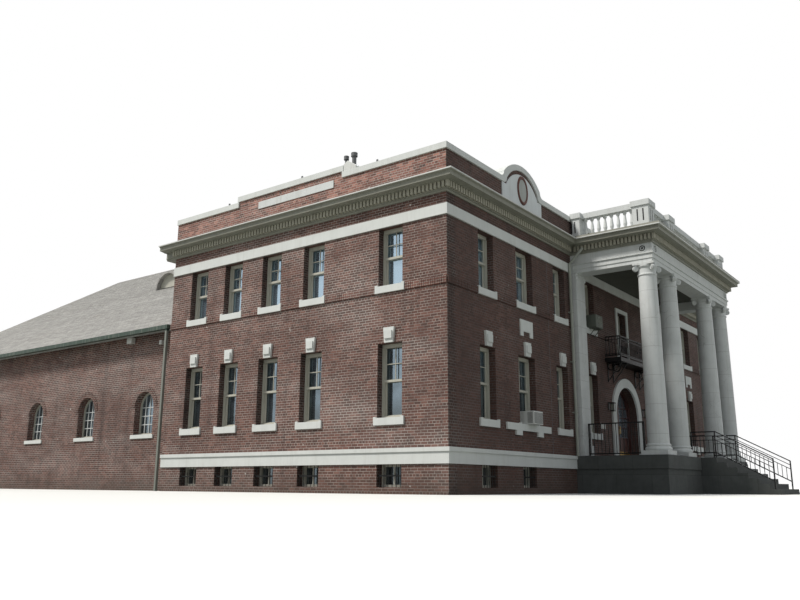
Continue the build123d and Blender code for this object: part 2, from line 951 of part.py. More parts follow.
with BuildPart() as side_balustrades:
    x = -column_x[1]
    wall_y = front_y - coping_reach - pedestal_cap_reach
    start, end = column_y + half_pedestal, wall_y - wall_pedestal_depth
    pedestal((x - half_pedestal, x + half_pedestal), (end, wall_y))
    across = (x - half_rail, x + half_rail)
    block(across, (start, end), (cornice_top, plinth_top))
    block(across, (start + pedestal_cap_reach, end), (rail_bottom, rail_top))
    for y in spaced(start, end, baluster_spacing):
        baluster_at(x, y, plinth_top, rail_bottom)
    mirror(about=Plane.YZ)
write("side_balustrades", side_balustrades.part)


def arch_face(half, low, spring, mode=Mode.ADD, middle=0):
    """An opening's shape with a round head, in the sketch that is open."""
    rectangle((middle - half, middle + half), (low, spring), mode=mode)
    with Locations((middle, spring)):
        Circle(half, mode=mode)


# Stone arch around the front door
with BuildPart() as door_surround:
    with BuildSketch(FRONT):
        arch_face(door_half_width + arch_stone, water_table_top, door_spring)
        arch_face(door_half_width, water_table_top, door_spring, mode=Mode.SUBTRACT)
    extrude(amount=arch_stone_reach)
    with BuildSketch(FRONT):
        half = balcony_door_width / 2
        x = (-half - balcony_stone, half + balcony_stone)
        rectangle(x, (second_floor_top, balcony_door_head + balcony_stone))
        rectangle((-half, half), (second_floor_top, balcony_door_head), mode=Mode.SUBTRACT)
    extrude(amount=belt_reach)
write("door_surround", door_surround.part)

# Door frame: a stop in front of the leaves
leaf_back_y = inner_face_y
leaf_front_y = leaf_back_y - leaf_thickness
with BuildPart() as door_frame:
    stop_front = FRONT.offset(front_y - (leaf_front_y - door_stop_gap - door_stop_depth))
    with BuildSketch(stop_front):
        arch_face(door_half_width, first_floor_top, door_spring)
        arch_face(
            door_half_width - door_stop_width, first_floor_top, door_spring, mode=Mode.SUBTRACT
        )
    extrude(amount=-door_stop_depth)
write("door_frame", door_frame.part)

# Door leaves: arched, glazed over a panel, hung at the jambs and opening inwards
leaf_radius = door_half_width - door_gap
leaf_plane = FRONT.offset(front_y - leaf_front_y)


def leaf_outline(inset, low, stile, mode=Mode.ADD):
    """Half of the doorway shape on the left, drawn in by inset, from low up."""
    radius = leaf_radius - inset
    meeting = -meeting_gap / 2 - stile
    rise = (radius**2 - meeting**2) ** 0.5
    with BuildLine() as outline:
        Polyline((-radius, door_spring), (-radius, low), (meeting, low), (meeting, door_spring + rise))
        RadiusArc((meeting, door_spring + rise), (-radius, door_spring), radius)
    make_face(outline.edges(), mode=mode)


# The hinge axis stands behind the wall's inner face, midway between jamb and leaf
hinge_x = -door_half_width + door_gap / 2
hinge_y = inner_face_y + hinge_offset


def hinge_half(plate_x, knuckle, plate):
    """Knuckle on the hinge axis with its plate against the face behind, each between two heights."""
    with Locations((hinge_x, hinge_y, (knuckle[0] + knuckle[1]) / 2)):
        Cylinder(hinge_radius, knuckle[1] - knuckle[0])
    block(plate_x, (inner_face_y, hinge_y + hinge_radius / 2), plate)


with BuildPart() as left_door:
    with BuildSketch(leaf_plane):
        leaf_outline(0, first_floor_top + leaf_lift, 0)
        leaf_outline(leaf_stile, leaf_panel_top, leaf_stile, mode=Mode.SUBTRACT)
    extrude(amount=-leaf_thickness)
    for level in hinge_levels:
        top = level + hinge_half_height
        hinge_half(
            (hinge_x + hinge_clearance, hinge_x + hinge_plate),
            (level + hinge_seat_gap, top),
            (level + hinge_clearance, top),
        )

with BuildPart() as door_hinges:
    for level in hinge_levels:
        low = level - hinge_half_height
        hinge_half((hinge_x - hinge_plate, hinge_x - hinge_clearance), (low, level), (low, level))
    mirror(about=Plane.YZ)

with BuildPart() as left_door_glass:
    with BuildSketch(leaf_plane.offset(-(leaf_thickness - glass_thickness) / 2)):
        leaf_outline(leaf_stile, leaf_panel_top, leaf_stile)
    extrude(amount=-glass_thickness)

write("door_hinges", door_hinges.part)
write("left_door", left_door.part)
write("right_door", mirrored(left_door.part))
write("left_door_glass", left_door_glass.part)
write("right_door_glass", mirrored(left_door_glass.part))

# Balcony over the front door
with BuildPart() as balcony:
    block(
        (-balcony_half_width, balcony_half_width),
        (front_y - balcony_reach, front_y),
        (balcony_top - balcony_thickness, balcony_top),
    )
write("balcony", balcony.part)

# Scrolled iron brackets that carry the balcony
bracket_top = balcony_top - balcony_thickness
with BuildPart() as balcony_brackets:
    for x in bracket_places:
        with BuildSketch(Plane(origin=(x - bracket_width / 2, front_y, 0), x_dir=(0, 1, 0), z_dir=(1, 0, 0))):
            rectangle((-bracket_thickness, 0), (bracket_top - bracket_height, bracket_top))
            rectangle((-bracket_reach, 0), (bracket_top - bracket_thickness, bracket_top))
            with BuildLine():
                foot = bracket_top - bracket_height
                Polyline(
                    (0, foot),
                    (-bracket_reach, bracket_top - bracket_thickness),
                    (-bracket_reach + bracket_thickness, bracket_top - bracket_thickness),
                    (0, foot + bracket_thickness),
                    close=True,
                )
            make_face()
            with Locations(
                (-bracket_thickness / 2 - bracket_scroll_radius, bracket_top - bracket_scroll_radius)
            ):
                Circle(bracket_scroll_radius)
                Circle(bracket_scroll_radius - bracket_thickness, mode=Mode.SUBTRACT)
        extrude(amount=bracket_width)
write("balcony_brackets", balcony_brackets.part)

with BuildPart() as balcony_railing:
    low = balcony_top
    high = balcony_top + balcony_rail_height
    edge_y = front_y - balcony_reach + rail_section
    edge_x = balcony_half_width - rail_section
    half = rail_section / 2
    for z in ((low + rail_foot, low + rail_foot + rail_section), (high - rail_section, high)):
        block((-edge_x - half, edge_x + half), (edge_y - half, edge_y + half), z)
        for x in (-edge_x, edge_x):
            block((x - half, x + half), (edge_y, front_y), z)
    for x in (-edge_x, edge_x):
        block((x - half, x + half), (edge_y - half, edge_y + half), (low, high))
    half = bar_section / 2
    for x in spaced(-edge_x, edge_x, bar_spacing):
        block((x - half, x + half), (edge_y - half, edge_y + half), (low + rail_foot, high))
    for x in (-edge_x, edge_x):
        for y in spaced(edge_y, front_y, bar_spacing):
            block((x - half, x + half), (y - half, y + half), (low + rail_foot, high))
write("balcony_railing", balcony_railing.part)

# Iron railings between the wall and the corner columns
with BuildPart() as porch_railings:
    low = water_table_top
    high = water_table_top + porch_rail_height
    x = -column_x[1]
    span = (column_y + plinth_side / 2, front_y - pilaster_reach - pilaster_base_reach)
    half = rail_section / 2
    for z in ((low + rail_foot, low + rail_foot + rail_section), (high - rail_section, high)):
        block((x - half, x + half), span, z)
    for y in (span[0] + half, span[1] - half):
        block((x - half, x + half), (y - half, y + half), (low, high))
    half = bar_section / 2
    for y in spaced(*span, bar_spacing):
        block((x - half, x + half), (y - half, y + half), (low + rail_foot, high))
    mirror(about=Plane.YZ)
write("porch_railings", porch_railings.part)

# Stair railings: level on the porch and the landing, then down the flight
with BuildPart() as stair_railings:
    x = -steps_half_width + stair_rail_inset
    half = rail_section / 2
    head_y = porch_y + step_run
    nosing_y = porch_y - landing_reach
    foot_y = front_y - front_reach + step_run / 2
    drop = (nosing_y - foot_y) / step_run * riser
    for level in (stair_rail_height - rail_section, stair_rail_gap):
        with BuildSketch(Plane(origin=(x - half, 0, 0), x_dir=(0, 1, 0), z_dir=(1, 0, 0))):
            with BuildLine():
                high = water_table_top + level
                Polyline(
                    (head_y, high),
                    (nosing_y, high),
                    (foot_y, high - drop),
                    (foot_y, high - drop + rail_section),
                    (nosing_y, high + rail_section),
                    (head_y, high + rail_section),
                    close=True,
                )
            make_face()
        extrude(amount=rail_section)
    for y, level, top in (
        (head_y - half, water_table_top, water_table_top),
        (nosing_y + half, water_table_top, water_table_top),
        (foot_y + half, riser, water_table_top - drop),
    ):
        block((x - half, x + half), (y - half, y + half), (level, top + stair_rail_height))
    mirror(about=Plane.YZ)
write("stair_railings", stair_railings.part)


def roof_top(x):
    """Height of the hall's roof above a place on the left half."""
    return roof_edge_height + (x + eave_half) * slope


# Drill hall
inner_hall = half_hall - wall_thickness
hall_wall_top = roof_top(-inner_hall) - roof_drop
bays = [(number + 0.5) * bay_length for number in range(bay_count)]
half_window = hall_window_width / 2


def hall_windows(plane, centres, depth, inset=0):
    """Round-headed window shapes of the hall, drawn in by inset, to add to a part or cut from it."""
    low = hall_window_sill + inset
    with BuildSketch(plane) as shapes:
        for centre in centres:
            arch_face(half_window - inset, low, hall_window_spring, middle=centre)
    return extrude(shapes.sketch, amount=-depth, mode=Mode.PRIVATE)


# The hall's end wall: the same windows under a plain gable
end_bay_length = 2 * half_hall / bay_count
end_bays = [(number + 0.5) * end_bay_length - half_hall for number in range(bay_count)]
END = Plane(origin=(0, hall_end_y, 0), x_dir=(-1, 0, 0), z_dir=(0, 1, 0))
with BuildPart() as hall_end_wall:
    with BuildSketch(END):
        with BuildLine():
            Polyline(
                (-inner_hall, 0),
                (inner_hall, 0),
                (inner_hall, hall_wall_top),
                (0, roof_top(0) - roof_drop),
                (-inner_hall, hall_wall_top),
                close=True,
            )
        make_face()
    extrude(amount=-wall_thickness)
    add(hall_windows(END, end_bays, wall_thickness), mode=Mode.SUBTRACT)

# Panels in the hall's openings, each with a frame round a sunk pane
with BuildPart() as hall_window_panels:
    side, end = HALL_LEFT.offset(-window_recess), END.offset(-window_recess)
    side_bays = [-bay for bay in bays]
    add(hall_windows(side, side_bays, frame_depth))
    add(hall_windows(side, side_bays, hall_pane_recess, inset=frame_width), mode=Mode.SUBTRACT)
    mirror(about=Plane.YZ)
    add(hall_windows(end, end_bays, frame_depth))
    add(hall_windows(end, end_bays, hall_pane_recess, inset=frame_width), mode=Mode.SUBTRACT)

write("hall_end_wall", hall_end_wall.part)
write("hall_windows", hall_window_panels.part)

with BuildPart() as hall_floor:
    block(
        (-inner_hall, inner_hall),
        (rear_y, hall_end_y - wall_thickness),
        (0, hall_floor_top),
    )
write("hall_floor", hall_floor.part)

# Roof slopes, from the eaves to the ridge, with an arched dormer on each
dormer_x = dormer_inset - half_house
dormer_y = rear_y + dormer_bay * bay_length
dormer_foot = roof_top(dormer_x)
roof_ends = (rear_y, hall_end_y + verge_reach)


def dormer_core(radius, front_x):
    """The half-round tunnel of the dormer, running back level into the slope."""
    with BuildSketch(
        Plane(origin=(front_x, dormer_y, dormer_foot), x_dir=(0, -1, 0), z_dir=(-1, 0, 0))
    ) as face:
        Circle(radius)
        with Locations((0, -radius)):
            Rectangle(2 * radius, 2 * radius, mode=Mode.SUBTRACT)
    return extrude(face.sketch, amount=-2 * radius / slope, mode=Mode.PRIVATE)


def below_roof(drop):
    """The left half of the hall under a slope that lies a drop below the roof's top."""
    with BuildSketch(Plane(origin=(0, roof_ends[0], 0), x_dir=(1, 0, 0), z_dir=(0, -1, 0))) as section:
        with BuildLine():
            Polyline(
                (-eave_half, 0),
                (0, 0),
                (0, roof_top(0) - drop),
                (-eave_half, roof_top(-eave_half) - drop),
                close=True,
            )
        make_face()
    return extrude(section.sketch, amount=-(roof_ends[1] - roof_ends[0]), mode=Mode.PRIVATE)


with BuildPart() as hall_roof_left:
    add(below_roof(0))
    add(below_roof(roof_drop), mode=Mode.SUBTRACT)
    add(dormer_core(dormer_radius - dormer_wall, dormer_x), mode=Mode.SUBTRACT)

with BuildPart() as hall_left_wall:
    with BuildSketch(HALL_LEFT):
        rectangle((-hall_length, 0), (0, hall_wall_top))
    extrude(amount=-wall_thickness)
    add(hall_windows(HALL_LEFT, [-bay for bay in bays], wall_thickness), mode=Mode.SUBTRACT)
    add(below_roof(roof_drop), mode=Mode.INTERSECT)

write("hall_left_wall", hall_left_wall.part)
write("hall_right_wall", mirrored(hall_left_wall.part))

with BuildPart() as dormers:
    add(dormer_core(dormer_radius, dormer_x))
    add(dormer_core(dormer_radius - dormer_wall, dormer_x), mode=Mode.SUBTRACT)
    add(below_roof(0), mode=Mode.SUBTRACT)
    mirror(about=Plane.YZ)

with BuildPart() as dormer_windows:
    add(dormer_core(dormer_radius - dormer_wall, dormer_x + window_recess))
    back_x = dormer_x + window_recess + frame_depth
    add(dormer_core(dormer_radius - dormer_wall, back_x), mode=Mode.SUBTRACT)
    add(below_roof(0), mode=Mode.SUBTRACT)
    mirror(about=Plane.YZ)

write("hall_roof_left", hall_roof_left.part)
write("hall_roof_right", mirrored(hall_roof_left.part))
write("dormers", dormers.part)
write("dormer_windows", dormer_windows.part)

# Gutter under each eave, with a downspout beside the head house
with BuildPart() as gutters:
    edge = -eave_half
    top = roof_top(edge)
    block((edge - gutter_size, edge), (rear_y + gutter_gap, hall_end_y), (top - gutter_size, top))
    x = edge - gutter_size / 2
    y = rear_y + downspout_gap
    half = downspout_size / 2
    block((x - half, x + half), (y - half, y + half), (0, top - gutter_size))
    mirror(about=Plane.YZ)
write("gutters", gutters.part)
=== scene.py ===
"""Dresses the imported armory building: brickwork, sashes, mouldings, doors, roof courses and the stage."""

import json
import math
import random

import bmesh
import bpy
from bpy.props import FloatProperty, FloatVectorProperty, PointerProperty
from mathutils import Matrix, Vector


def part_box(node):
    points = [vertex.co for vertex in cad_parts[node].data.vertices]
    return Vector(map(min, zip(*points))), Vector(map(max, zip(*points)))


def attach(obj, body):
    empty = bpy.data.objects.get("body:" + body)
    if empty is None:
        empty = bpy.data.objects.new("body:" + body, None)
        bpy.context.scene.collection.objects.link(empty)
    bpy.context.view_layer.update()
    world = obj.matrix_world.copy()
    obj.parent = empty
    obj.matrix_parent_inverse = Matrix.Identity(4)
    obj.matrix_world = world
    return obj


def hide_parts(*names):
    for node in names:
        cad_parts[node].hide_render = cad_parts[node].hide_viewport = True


bl_info = {
    "name": "Armory building",
    "version": (1, 0, 0),
    "blender": (4, 5, 0),
    "location": "3D View > Sidebar > Armory",
    "description": "Builds the looks of an armory building around its packed solids",
    "category": "Object",
}

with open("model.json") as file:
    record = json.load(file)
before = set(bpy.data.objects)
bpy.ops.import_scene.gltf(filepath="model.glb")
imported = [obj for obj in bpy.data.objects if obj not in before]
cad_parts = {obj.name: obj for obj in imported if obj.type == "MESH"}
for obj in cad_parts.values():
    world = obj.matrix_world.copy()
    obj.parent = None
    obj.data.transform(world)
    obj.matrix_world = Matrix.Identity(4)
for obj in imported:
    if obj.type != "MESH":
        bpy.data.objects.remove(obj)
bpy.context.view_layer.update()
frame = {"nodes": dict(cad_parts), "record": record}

# Planes and levels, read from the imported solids
front_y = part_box("front_left_wall")[0][1]
rear_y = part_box("left_wall")[1][1]
half_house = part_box("right_wall")[1][0]
half_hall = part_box("hall_right_wall")[1][0]
hall_end_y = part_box("hall_end_wall")[1][1]
wall_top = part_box("left_wall")[1][2]
cornice_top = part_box("left_cornice")[1][2]
cornice_reach = -half_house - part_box("left_cornice")[0][0]
parapet_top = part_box("front_coping")[0][2]
frieze_set_back = 0.04
portico_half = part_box("entablature")[1][0] - frieze_set_back
portico_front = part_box("entablature")[0][1] + frieze_set_back
column_y = (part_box("column_1")[0][1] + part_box("column_1")[1][1]) / 2
column_places = [(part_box(f"column_{n}")[0][0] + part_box(f"column_{n}")[1][0]) / 2 for n in (1, 2, 3, 4)]
rail_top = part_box("front_balustrade")[1][2]
porch_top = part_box("porch_base")[1][2]
porch_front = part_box("porch_base")[0][1]
leaf_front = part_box("left_door")[0][1]
ridge_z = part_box("hall_roof_left")[1][2]
eave_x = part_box("hall_roof_left")[0][0]

# Outer faces of the hall's slopes: their height at the eaves, and their slope
eave_top = 5.73
roof_slope = math.atan2(ridge_z - eave_top, -eave_x)

# Window places: shares of the side's depth and of the front wing's width, from the front corner
SIDE_WINDOWS = [front_y + share * (rear_y - front_y) for share in (0.164, 0.418, 0.575, 0.730, 0.878)]
WING_WINDOWS = [half_house - share * (half_house - portico_half) for share in (0.262, 0.559, 0.873)]
WIDE_WINDOW = WING_WINDOWS[1]
PORCH_WINDOW = 3.0
WIDTH, WIDE_WIDTH, BASEMENT_WIDTH = 0.85, 1.06, 0.84

# Sills and heads of the windows, how deep their frames stand, and the stones of their sills
STOREYS = ((2.02, 4.08), (5.72, 7.45))
LOWER_SILL = STOREYS[0][0]
UPPER_SILL, UPPER_HEAD = STOREYS[1]
BASEMENT = (0.18, 0.78)
RECESS, FRAME_DEPTH, FRAME_WIDTH = 0.24, 0.11, 0.065
SILL_HEIGHT, SILL_EAR = 0.20, 0.09

# Leaves of the front door: spring and radius of the round head, thickness, and the panes' edges
LEAF_SPRING, LEAF_RADIUS, LEAF_THICK = 2.80, 1.094, 0.05
PANE_FOOT, PANE_INNER, PANE_OUTER = 2.05, 0.115, LEAF_RADIUS - 0.11

# Lanterns beside the door: how far from the middle, how far out, and how high
LANTERN_X, LANTERN_OUT, LANTERN_Z = 1.70, 0.16, 3.08


def length(name, description, value):
    """A size that a user may change."""
    return FloatProperty(name=name, description=description, default=value, unit="LENGTH")


class ArmorySizes(bpy.types.PropertyGroup):
    """Sizes of the pieces that dress the building."""

    brick_length: length("Brick length", "A stretcher with its joint", 0.215)
    course: length("Course", "A brick's height with its joint", 0.075)
    joint: length("Mortar joint", "Width of the mortar between bricks", 0.014)
    band_proud: length("Soldier band", "How far the soldier band stands out", 0.040)
    dentil_width: length("Dentil width", "Width of one dentil", 0.080)
    dentil_pitch: length("Dentil pitch", "From one dentil to the next", 0.132)
    bar_width: length("Glazing bar", "Width of the bars in the upper sashes", 0.024)
    shingle_course: length("Shingle course", "Height of a shingle course along the slope", 0.145)


def colour(name, description, value):
    """A colour that a user may change."""
    return FloatVectorProperty(
        name=name, description=description, default=value, subtype="COLOR", size=3, min=0, max=1
    )


class ArmoryColours(bpy.types.PropertyGroup):
    """Colours of the building's finishes."""

    brick: colour("Brick", "Middle tone of the brickwork", (0.108, 0.046, 0.036))
    brick_dark: colour("Dark brick", "Darkest bricks", (0.038, 0.022, 0.020))
    brick_light: colour("Light brick", "Lightest bricks", (0.270, 0.140, 0.110))
    mortar: colour("Mortar", "Joints of the brickwork", (0.560, 0.500, 0.455))
    salt: colour("Salt", "Pale salts on bricks and joints", (0.640, 0.600, 0.565))
    stone: colour("Pale stone", "Sills, keystones, belts and copings", (0.690, 0.712, 0.698))
    porch: colour("Porch stone", "Porch base and steps", (0.085, 0.092, 0.090))
    white: colour("White paint", "Columns, entablature and balustrade", (0.645, 0.668, 0.665))
    olive: colour("Olive paint", "Cornice and soffits", (0.265, 0.265, 0.222))
    olive_light: colour("Pale olive paint", "Dentils and edges of the cornice", (0.420, 0.405, 0.330))
    frame: colour("Frame paint", "Window frames and sashes", (0.510, 0.500, 0.435))
    door: colour("Door paint", "Front doors", (0.075, 0.030, 0.026))
    iron: colour("Iron", "Railings and balcony", (0.012, 0.013, 0.014))
    gable: colour("Gable paint", "White panels of the gables", (0.720, 0.755, 0.770))
    shingle: colour("Shingles", "Roof of the drill hall", (0.385, 0.378, 0.362))
    # The shades' pale blue is a painted reflection of the sky in the side windows
    shade: colour("Window shades", "Shades behind the side windows", (0.300, 0.400, 0.500))
    gutter: colour("Gutter paint", "Gutters", (0.030, 0.055, 0.040))
    downspout: colour("Downspout paint", "Downspouts and the portico's pipe", (0.330, 0.350, 0.310))
    cooler: colour("Cooler case", "Cooler over the porch", (0.105, 0.120, 0.100))


# Materials


class Nodes:
    """A material's node tree, with short calls to add and join nodes."""

    def __init__(self, name):
        self.material = bpy.data.materials.new(f"finish_{name}")
        self.material.use_nodes = True
        self.tree = self.material.node_tree
        self.tree.nodes.clear()
        self.output = self.add("ShaderNodeOutputMaterial")
        self.shader = self.add("ShaderNodeBsdfPrincipled")
        self.tree.links.new(self.shader.outputs[0], self.output.inputs["Surface"])
        self.where = self.add("ShaderNodeTexCoord")
        self.place = self.where.outputs["Object"]

    def add(self, kind, inputs=None, **settings):
        """Adds a node with its settings, and joins or sets its inputs."""
        node = self.tree.nodes.new(kind)
        for key, value in settings.items():
            setattr(node, key, value)
        for key, value in (inputs or {}).items():
            if isinstance(value, bpy.types.NodeSocket):
                self.tree.links.new(value, node.inputs[key])
            else:
                node.inputs[key].default_value = value
        return node

    def math(self, operation, first, second=0.0, third=0.0, clamp=False):
        """One step of arithmetic."""
        inputs = {0: first, 1: second, 2: third}
        return self.add("ShaderNodeMath", inputs, operation=operation, use_clamp=clamp).outputs[0]

    def mix(self, factor, first, second, blend="MIX"):
        """Mixes two colours."""
        node = self.add("ShaderNodeMix", data_type="RGBA", blend_type=blend, clamp_factor=True)
        for socket, value in ((0, factor), (6, first), (7, second)):
            if isinstance(value, bpy.types.NodeSocket):
                self.tree.links.new(value, node.inputs[socket])
            elif socket:
                node.inputs[socket].default_value = (*value[:3], 1)
            else:
                node.inputs[socket].default_value = value
        return node.outputs[2]

    def noise(self, scale, detail=4.0, roughness=0.55, stretch=(1, 1, 1)):
        """Noise over the object, stretched along its axes."""
        turned = self.add("ShaderNodeMapping", {"Vector": self.place, "Scale": stretch})
        inputs = {"Vector": turned.outputs[0], "Scale": scale, "Detail": detail, "Roughness": roughness}
        return self.add("ShaderNodeTexNoise", inputs).outputs[0]

    def ramp(self, value, low, high, start=0.0, end=1.0):
        """Carries a value from one range to another, held at its ends."""
        inputs = {"Value": value, "From Min": low, "From Max": high, "To Min": start, "To Max": end}
        return self.add("ShaderNodeMapRange", inputs).outputs[0]

    def stain(self, base, tone, noise, low, high, amount=1.0):
        """Lays a tone over a colour where a noise rises from low to high."""
        return self.mix(self.ramp(self.noise(*noise), low, high, 0.0, amount), base, tone)

    def runs(self, base, tone, across, up, low, high, amount):
        """Lays upright runs of a tone over a colour, as rain leaves them."""
        return self.stain(base, tone, (1.0, 6.0, 0.7, (across, across, up)), low, high, amount)

    def tones(self, value, stops):
        """Turns a value into a colour through several stops."""
        node = self.add("ShaderNodeValToRGB", {"Fac": value})
        while len(node.color_ramp.elements) < len(stops):
            node.color_ramp.elements.new(0.5)
        for element, (position, tone) in zip(node.color_ramp.elements, stops):
            element.position = position
            element.color = (*tone[:3], 1)
        return node.outputs[0]

    def courses(self, spot, joint, smooth, length, height, joint_tone=0.5, **settings):
        """Bricks or blocks in courses: a random tone for each, and the joints between them."""
        inputs = {
            "Vector": spot,
            "Color1": (0, 0, 0, 1),
            "Color2": (1, 1, 1, 1),
            "Mortar": (joint_tone, joint_tone, joint_tone, 1),
            "Scale": 1.0,
            "Mortar Size": joint,
            "Mortar Smooth": smooth,
            "Brick Width": length,
            "Row Height": height,
        }
        node = self.add("ShaderNodeTexBrick", inputs, **settings)
        return node.outputs["Color"], node.outputs["Fac"]

    def axes(self):
        """X, Y and Z of the place on the object."""
        parts = self.add("ShaderNodeSeparateXYZ", {0: self.place})
        return parts.outputs[0], parts.outputs[1], parts.outputs[2]

    def wall_place(self):
        """Place on an upright wall: along it, and up."""
        x, y, z = self.axes()
        facing = self.add("ShaderNodeSeparateXYZ", {0: self.where.outputs["Normal"]})
        across = self.math("ABSOLUTE", facing.outputs[0])
        along = self.math("ABSOLUTE", facing.outputs[1])
        sideways = self.math("GREATER_THAN", across, along)
        step = self.math("SUBTRACT", y, x)
        u = self.math("MULTIPLY_ADD", step, sideways, x)
        return self.add("ShaderNodeCombineXYZ", {0: u, 1: z}).outputs[0], z

    def bump(self, height, distance, strength=1.0):
        """Relief from a height."""
        inputs = {"Height": height, "Distance": distance, "Strength": strength}
        node = self.add("ShaderNodeBump", inputs)
        self.tree.links.new(node.outputs[0], self.shader.inputs["Normal"])

    def finish(self, colour_socket, rough=0.8, **values):
        """Joins the colour and roughness to the shader, and returns the material."""
        if isinstance(colour_socket, bpy.types.NodeSocket):
            self.tree.links.new(colour_socket, self.shader.inputs["Base Color"])
        else:
            self.shader.inputs["Base Color"].default_value = (*colour_socket[:3], 1)
        if isinstance(rough, bpy.types.NodeSocket):
            self.tree.links.new(rough, self.shader.inputs["Roughness"])
        else:
            self.shader.inputs["Roughness"].default_value = rough
        for key, value in values.items():
            self.shader.inputs[key.replace("_", " ")].default_value = value
        return self.material


def finish_of(name):
    """The material that the scene made under a name."""
    return bpy.data.materials[f"finish_{name}"]


def shaded(tone, amount):
    """A colour made darker or lighter."""
    return tuple(min(1.0, part * amount) for part in tone)


def brickwork(name, sizes, tones, weather=1.0, spots=0.5, bright=1.0, joints=1.0, front=1.0):
    """Brick in header and stretcher courses, with uneven bricks, dirt and pale salts, and painted shade on
    faces that look to the front when front is below one.
    """
    n = Nodes(name)
    spot, z = n.wall_place()
    random_tone, joint = n.courses(
        spot, sizes.joint / 2, 0.25, sizes.brick_length, sizes.course,
        offset=0.5, offset_frequency=2, squash=0.5, squash_frequency=6,
    )
    wear = n.noise(1.3, 6.0, 0.62)
    value = n.math("MULTIPLY_ADD", wear, 0.55, n.math("MULTIPLY_ADD", random_tone, 0.62, -0.09))
    brick = n.tones(
        value,
        (
            (0.08, tones.brick_dark),
            (0.34, shaded(tones.brick, 0.72 * bright)),
            (0.52, shaded(tones.brick, bright)),
            (0.70, shaded(tones.brick, 1.35 * bright)),
            (0.93, shaded(tones.brick_light, bright)),
        ),
    )
    grain = n.noise(55.0, 3.0, 0.6)
    brick = n.mix(n.ramp(grain, 0.35, 0.75, 0.0, 0.35), brick, shaded(tones.brick_light, 1.1))
    pale_mortar = shaded(tones.mortar, joints)
    mortar = n.stain(pale_mortar, shaded(pale_mortar, 0.45), (2.2, 4.0), 0.35, 0.7)
    wall = n.mix(n.math("MULTIPLY", joint, 0.92), brick, mortar)
    # Dirt in broad patches and upright streaks
    patch = n.mix(0.55, wall, shaded(tones.brick_dark, 0.9))
    wall = n.stain(wall, patch, (0.32, 5.0, 0.6), 0.36, 0.68, 0.55 * weather)
    soot = shaded(tones.brick_dark, 0.8)
    wall = n.stain(wall, soot, (1.0, 5.0, 0.65, (2.6, 2.6, 0.16)), 0.52, 0.78, 0.5 * weather)
    # Salts: on whole bricks, along the joints, and in single pale flecks
    salt = n.ramp(n.noise(0.55, 3.0), 0.56, 0.70)
    salt = n.math("MULTIPLY", salt, n.ramp(n.noise(9.0, 5.0, 0.75), 0.60, 0.72))
    wall = n.mix(n.math("MULTIPLY", salt, spots), wall, tones.salt)
    bloom = n.ramp(n.noise(0.42, 6.0, 0.7, (0.7, 0.7, 1.6)), 0.46, 0.66, 0.0, 0.9)
    bloom = n.math("MULTIPLY", bloom, n.math("MULTIPLY_ADD", joint, 0.85, 0.10))
    wall = n.mix(n.math("MULTIPLY", bloom, spots, clamp=True), wall, tones.salt)
    flecks = n.add("ShaderNodeTexVoronoi", {"Vector": n.place, "Scale": 2.1, "Randomness": 1.0})
    fleck = n.ramp(flecks.outputs["Distance"], 0.045, 0.070, 1.0, 0.0)
    fleck = n.math("MULTIPLY", fleck, n.ramp(n.noise(0.8, 2.0), 0.50, 0.60))
    wall = n.mix(n.math("MULTIPLY", fleck, spots, clamp=True), wall, shaded(tones.salt, 1.1))
    damp = n.ramp(z, 0.0, 0.75, 0.45 * weather, 0.0)
    wall = n.mix(damp, wall, (0.060, 0.045, 0.035))
    # Painted shade: faces that look to the front, the ends of the side walls among them, are darkened by the
    # factor front, as the front stands out of the key light
    if front < 1.0:
        normal = n.add("ShaderNodeSeparateXYZ", {0: n.where.outputs["Normal"]})
        facing = n.math("LESS_THAN", normal.outputs[1], -0.5)
        wall = n.mix(facing, wall, n.mix(1.0, wall, (front, front, front), blend="MULTIPLY"))
    relief = n.math("MULTIPLY_ADD", grain, 0.25, n.math("SUBTRACT", 1.0, joint))
    relief = n.math("MULTIPLY_ADD", random_tone, 0.25, relief)
    n.bump(relief, 0.010, 0.8)
    return n.finish(wall, n.ramp(grain, 0.3, 0.7, 0.78, 0.95))


def weathered(name, tone, dirt, rough=0.75, streak=0.35, relief=0.002, **values):
    """A painted or dressed surface with dirt, runs and a fine grain."""
    n = Nodes(name)
    base = n.stain(tone, shaded(tone, 0.80), (1.7, 6.0, 0.6), 0.35, 0.75, 0.5)
    base = n.runs(base, dirt, 7.0, 0.45, 0.50, 0.76, streak)
    base = n.stain(base, dirt, (14.0, 6.0, 0.75), 0.62, 0.75, 0.35)
    grain = n.noise(45.0, 4.0, 0.6)
    n.bump(n.math("MULTIPLY_ADD", n.noise(6.0, 4.0), 0.6, grain), relief, 0.7)
    return n.finish(base, n.ramp(grain, 0.3, 0.7, rough - 0.06, min(1.0, rough + 0.08)), **values)


def column_stone(name, tone, dirt):
    """White-painted drums with fine joints, hair cracks and dirt near the joints."""
    n = Nodes(name)
    drum_height = 0.93
    drum = n.math("FRACT", n.math("DIVIDE", n.axes()[2], drum_height))
    near = n.math("MINIMUM", drum, n.math("SUBTRACT", 1.0, drum))
    joint = n.ramp(near, 0.0, 0.007, 1.0, 0.0)
    base = n.stain(tone, shaded(tone, 0.78), (2.1, 6.0, 0.65), 0.4, 0.75, 0.6)
    cells = {"Vector": n.place, "Scale": 2.3}
    cracks = n.add("ShaderNodeTexVoronoi", cells, feature="DISTANCE_TO_EDGE").outputs[0]
    crack = n.math("MULTIPLY", n.ramp(cracks, 0.0, 0.006, 1.0, 0.0), n.ramp(n.noise(0.9), 0.5, 0.6))
    base = n.runs(base, dirt, 9.0, 0.35, 0.52, 0.78, 0.4)
    line = n.math("MAXIMUM", joint, crack)
    base = n.mix(n.math("MULTIPLY", line, 0.75), base, shaded(dirt, 0.55))
    n.bump(n.math("SUBTRACT", n.noise(30.0), line), 0.003, 0.8)
    return n.finish(base, 0.62)


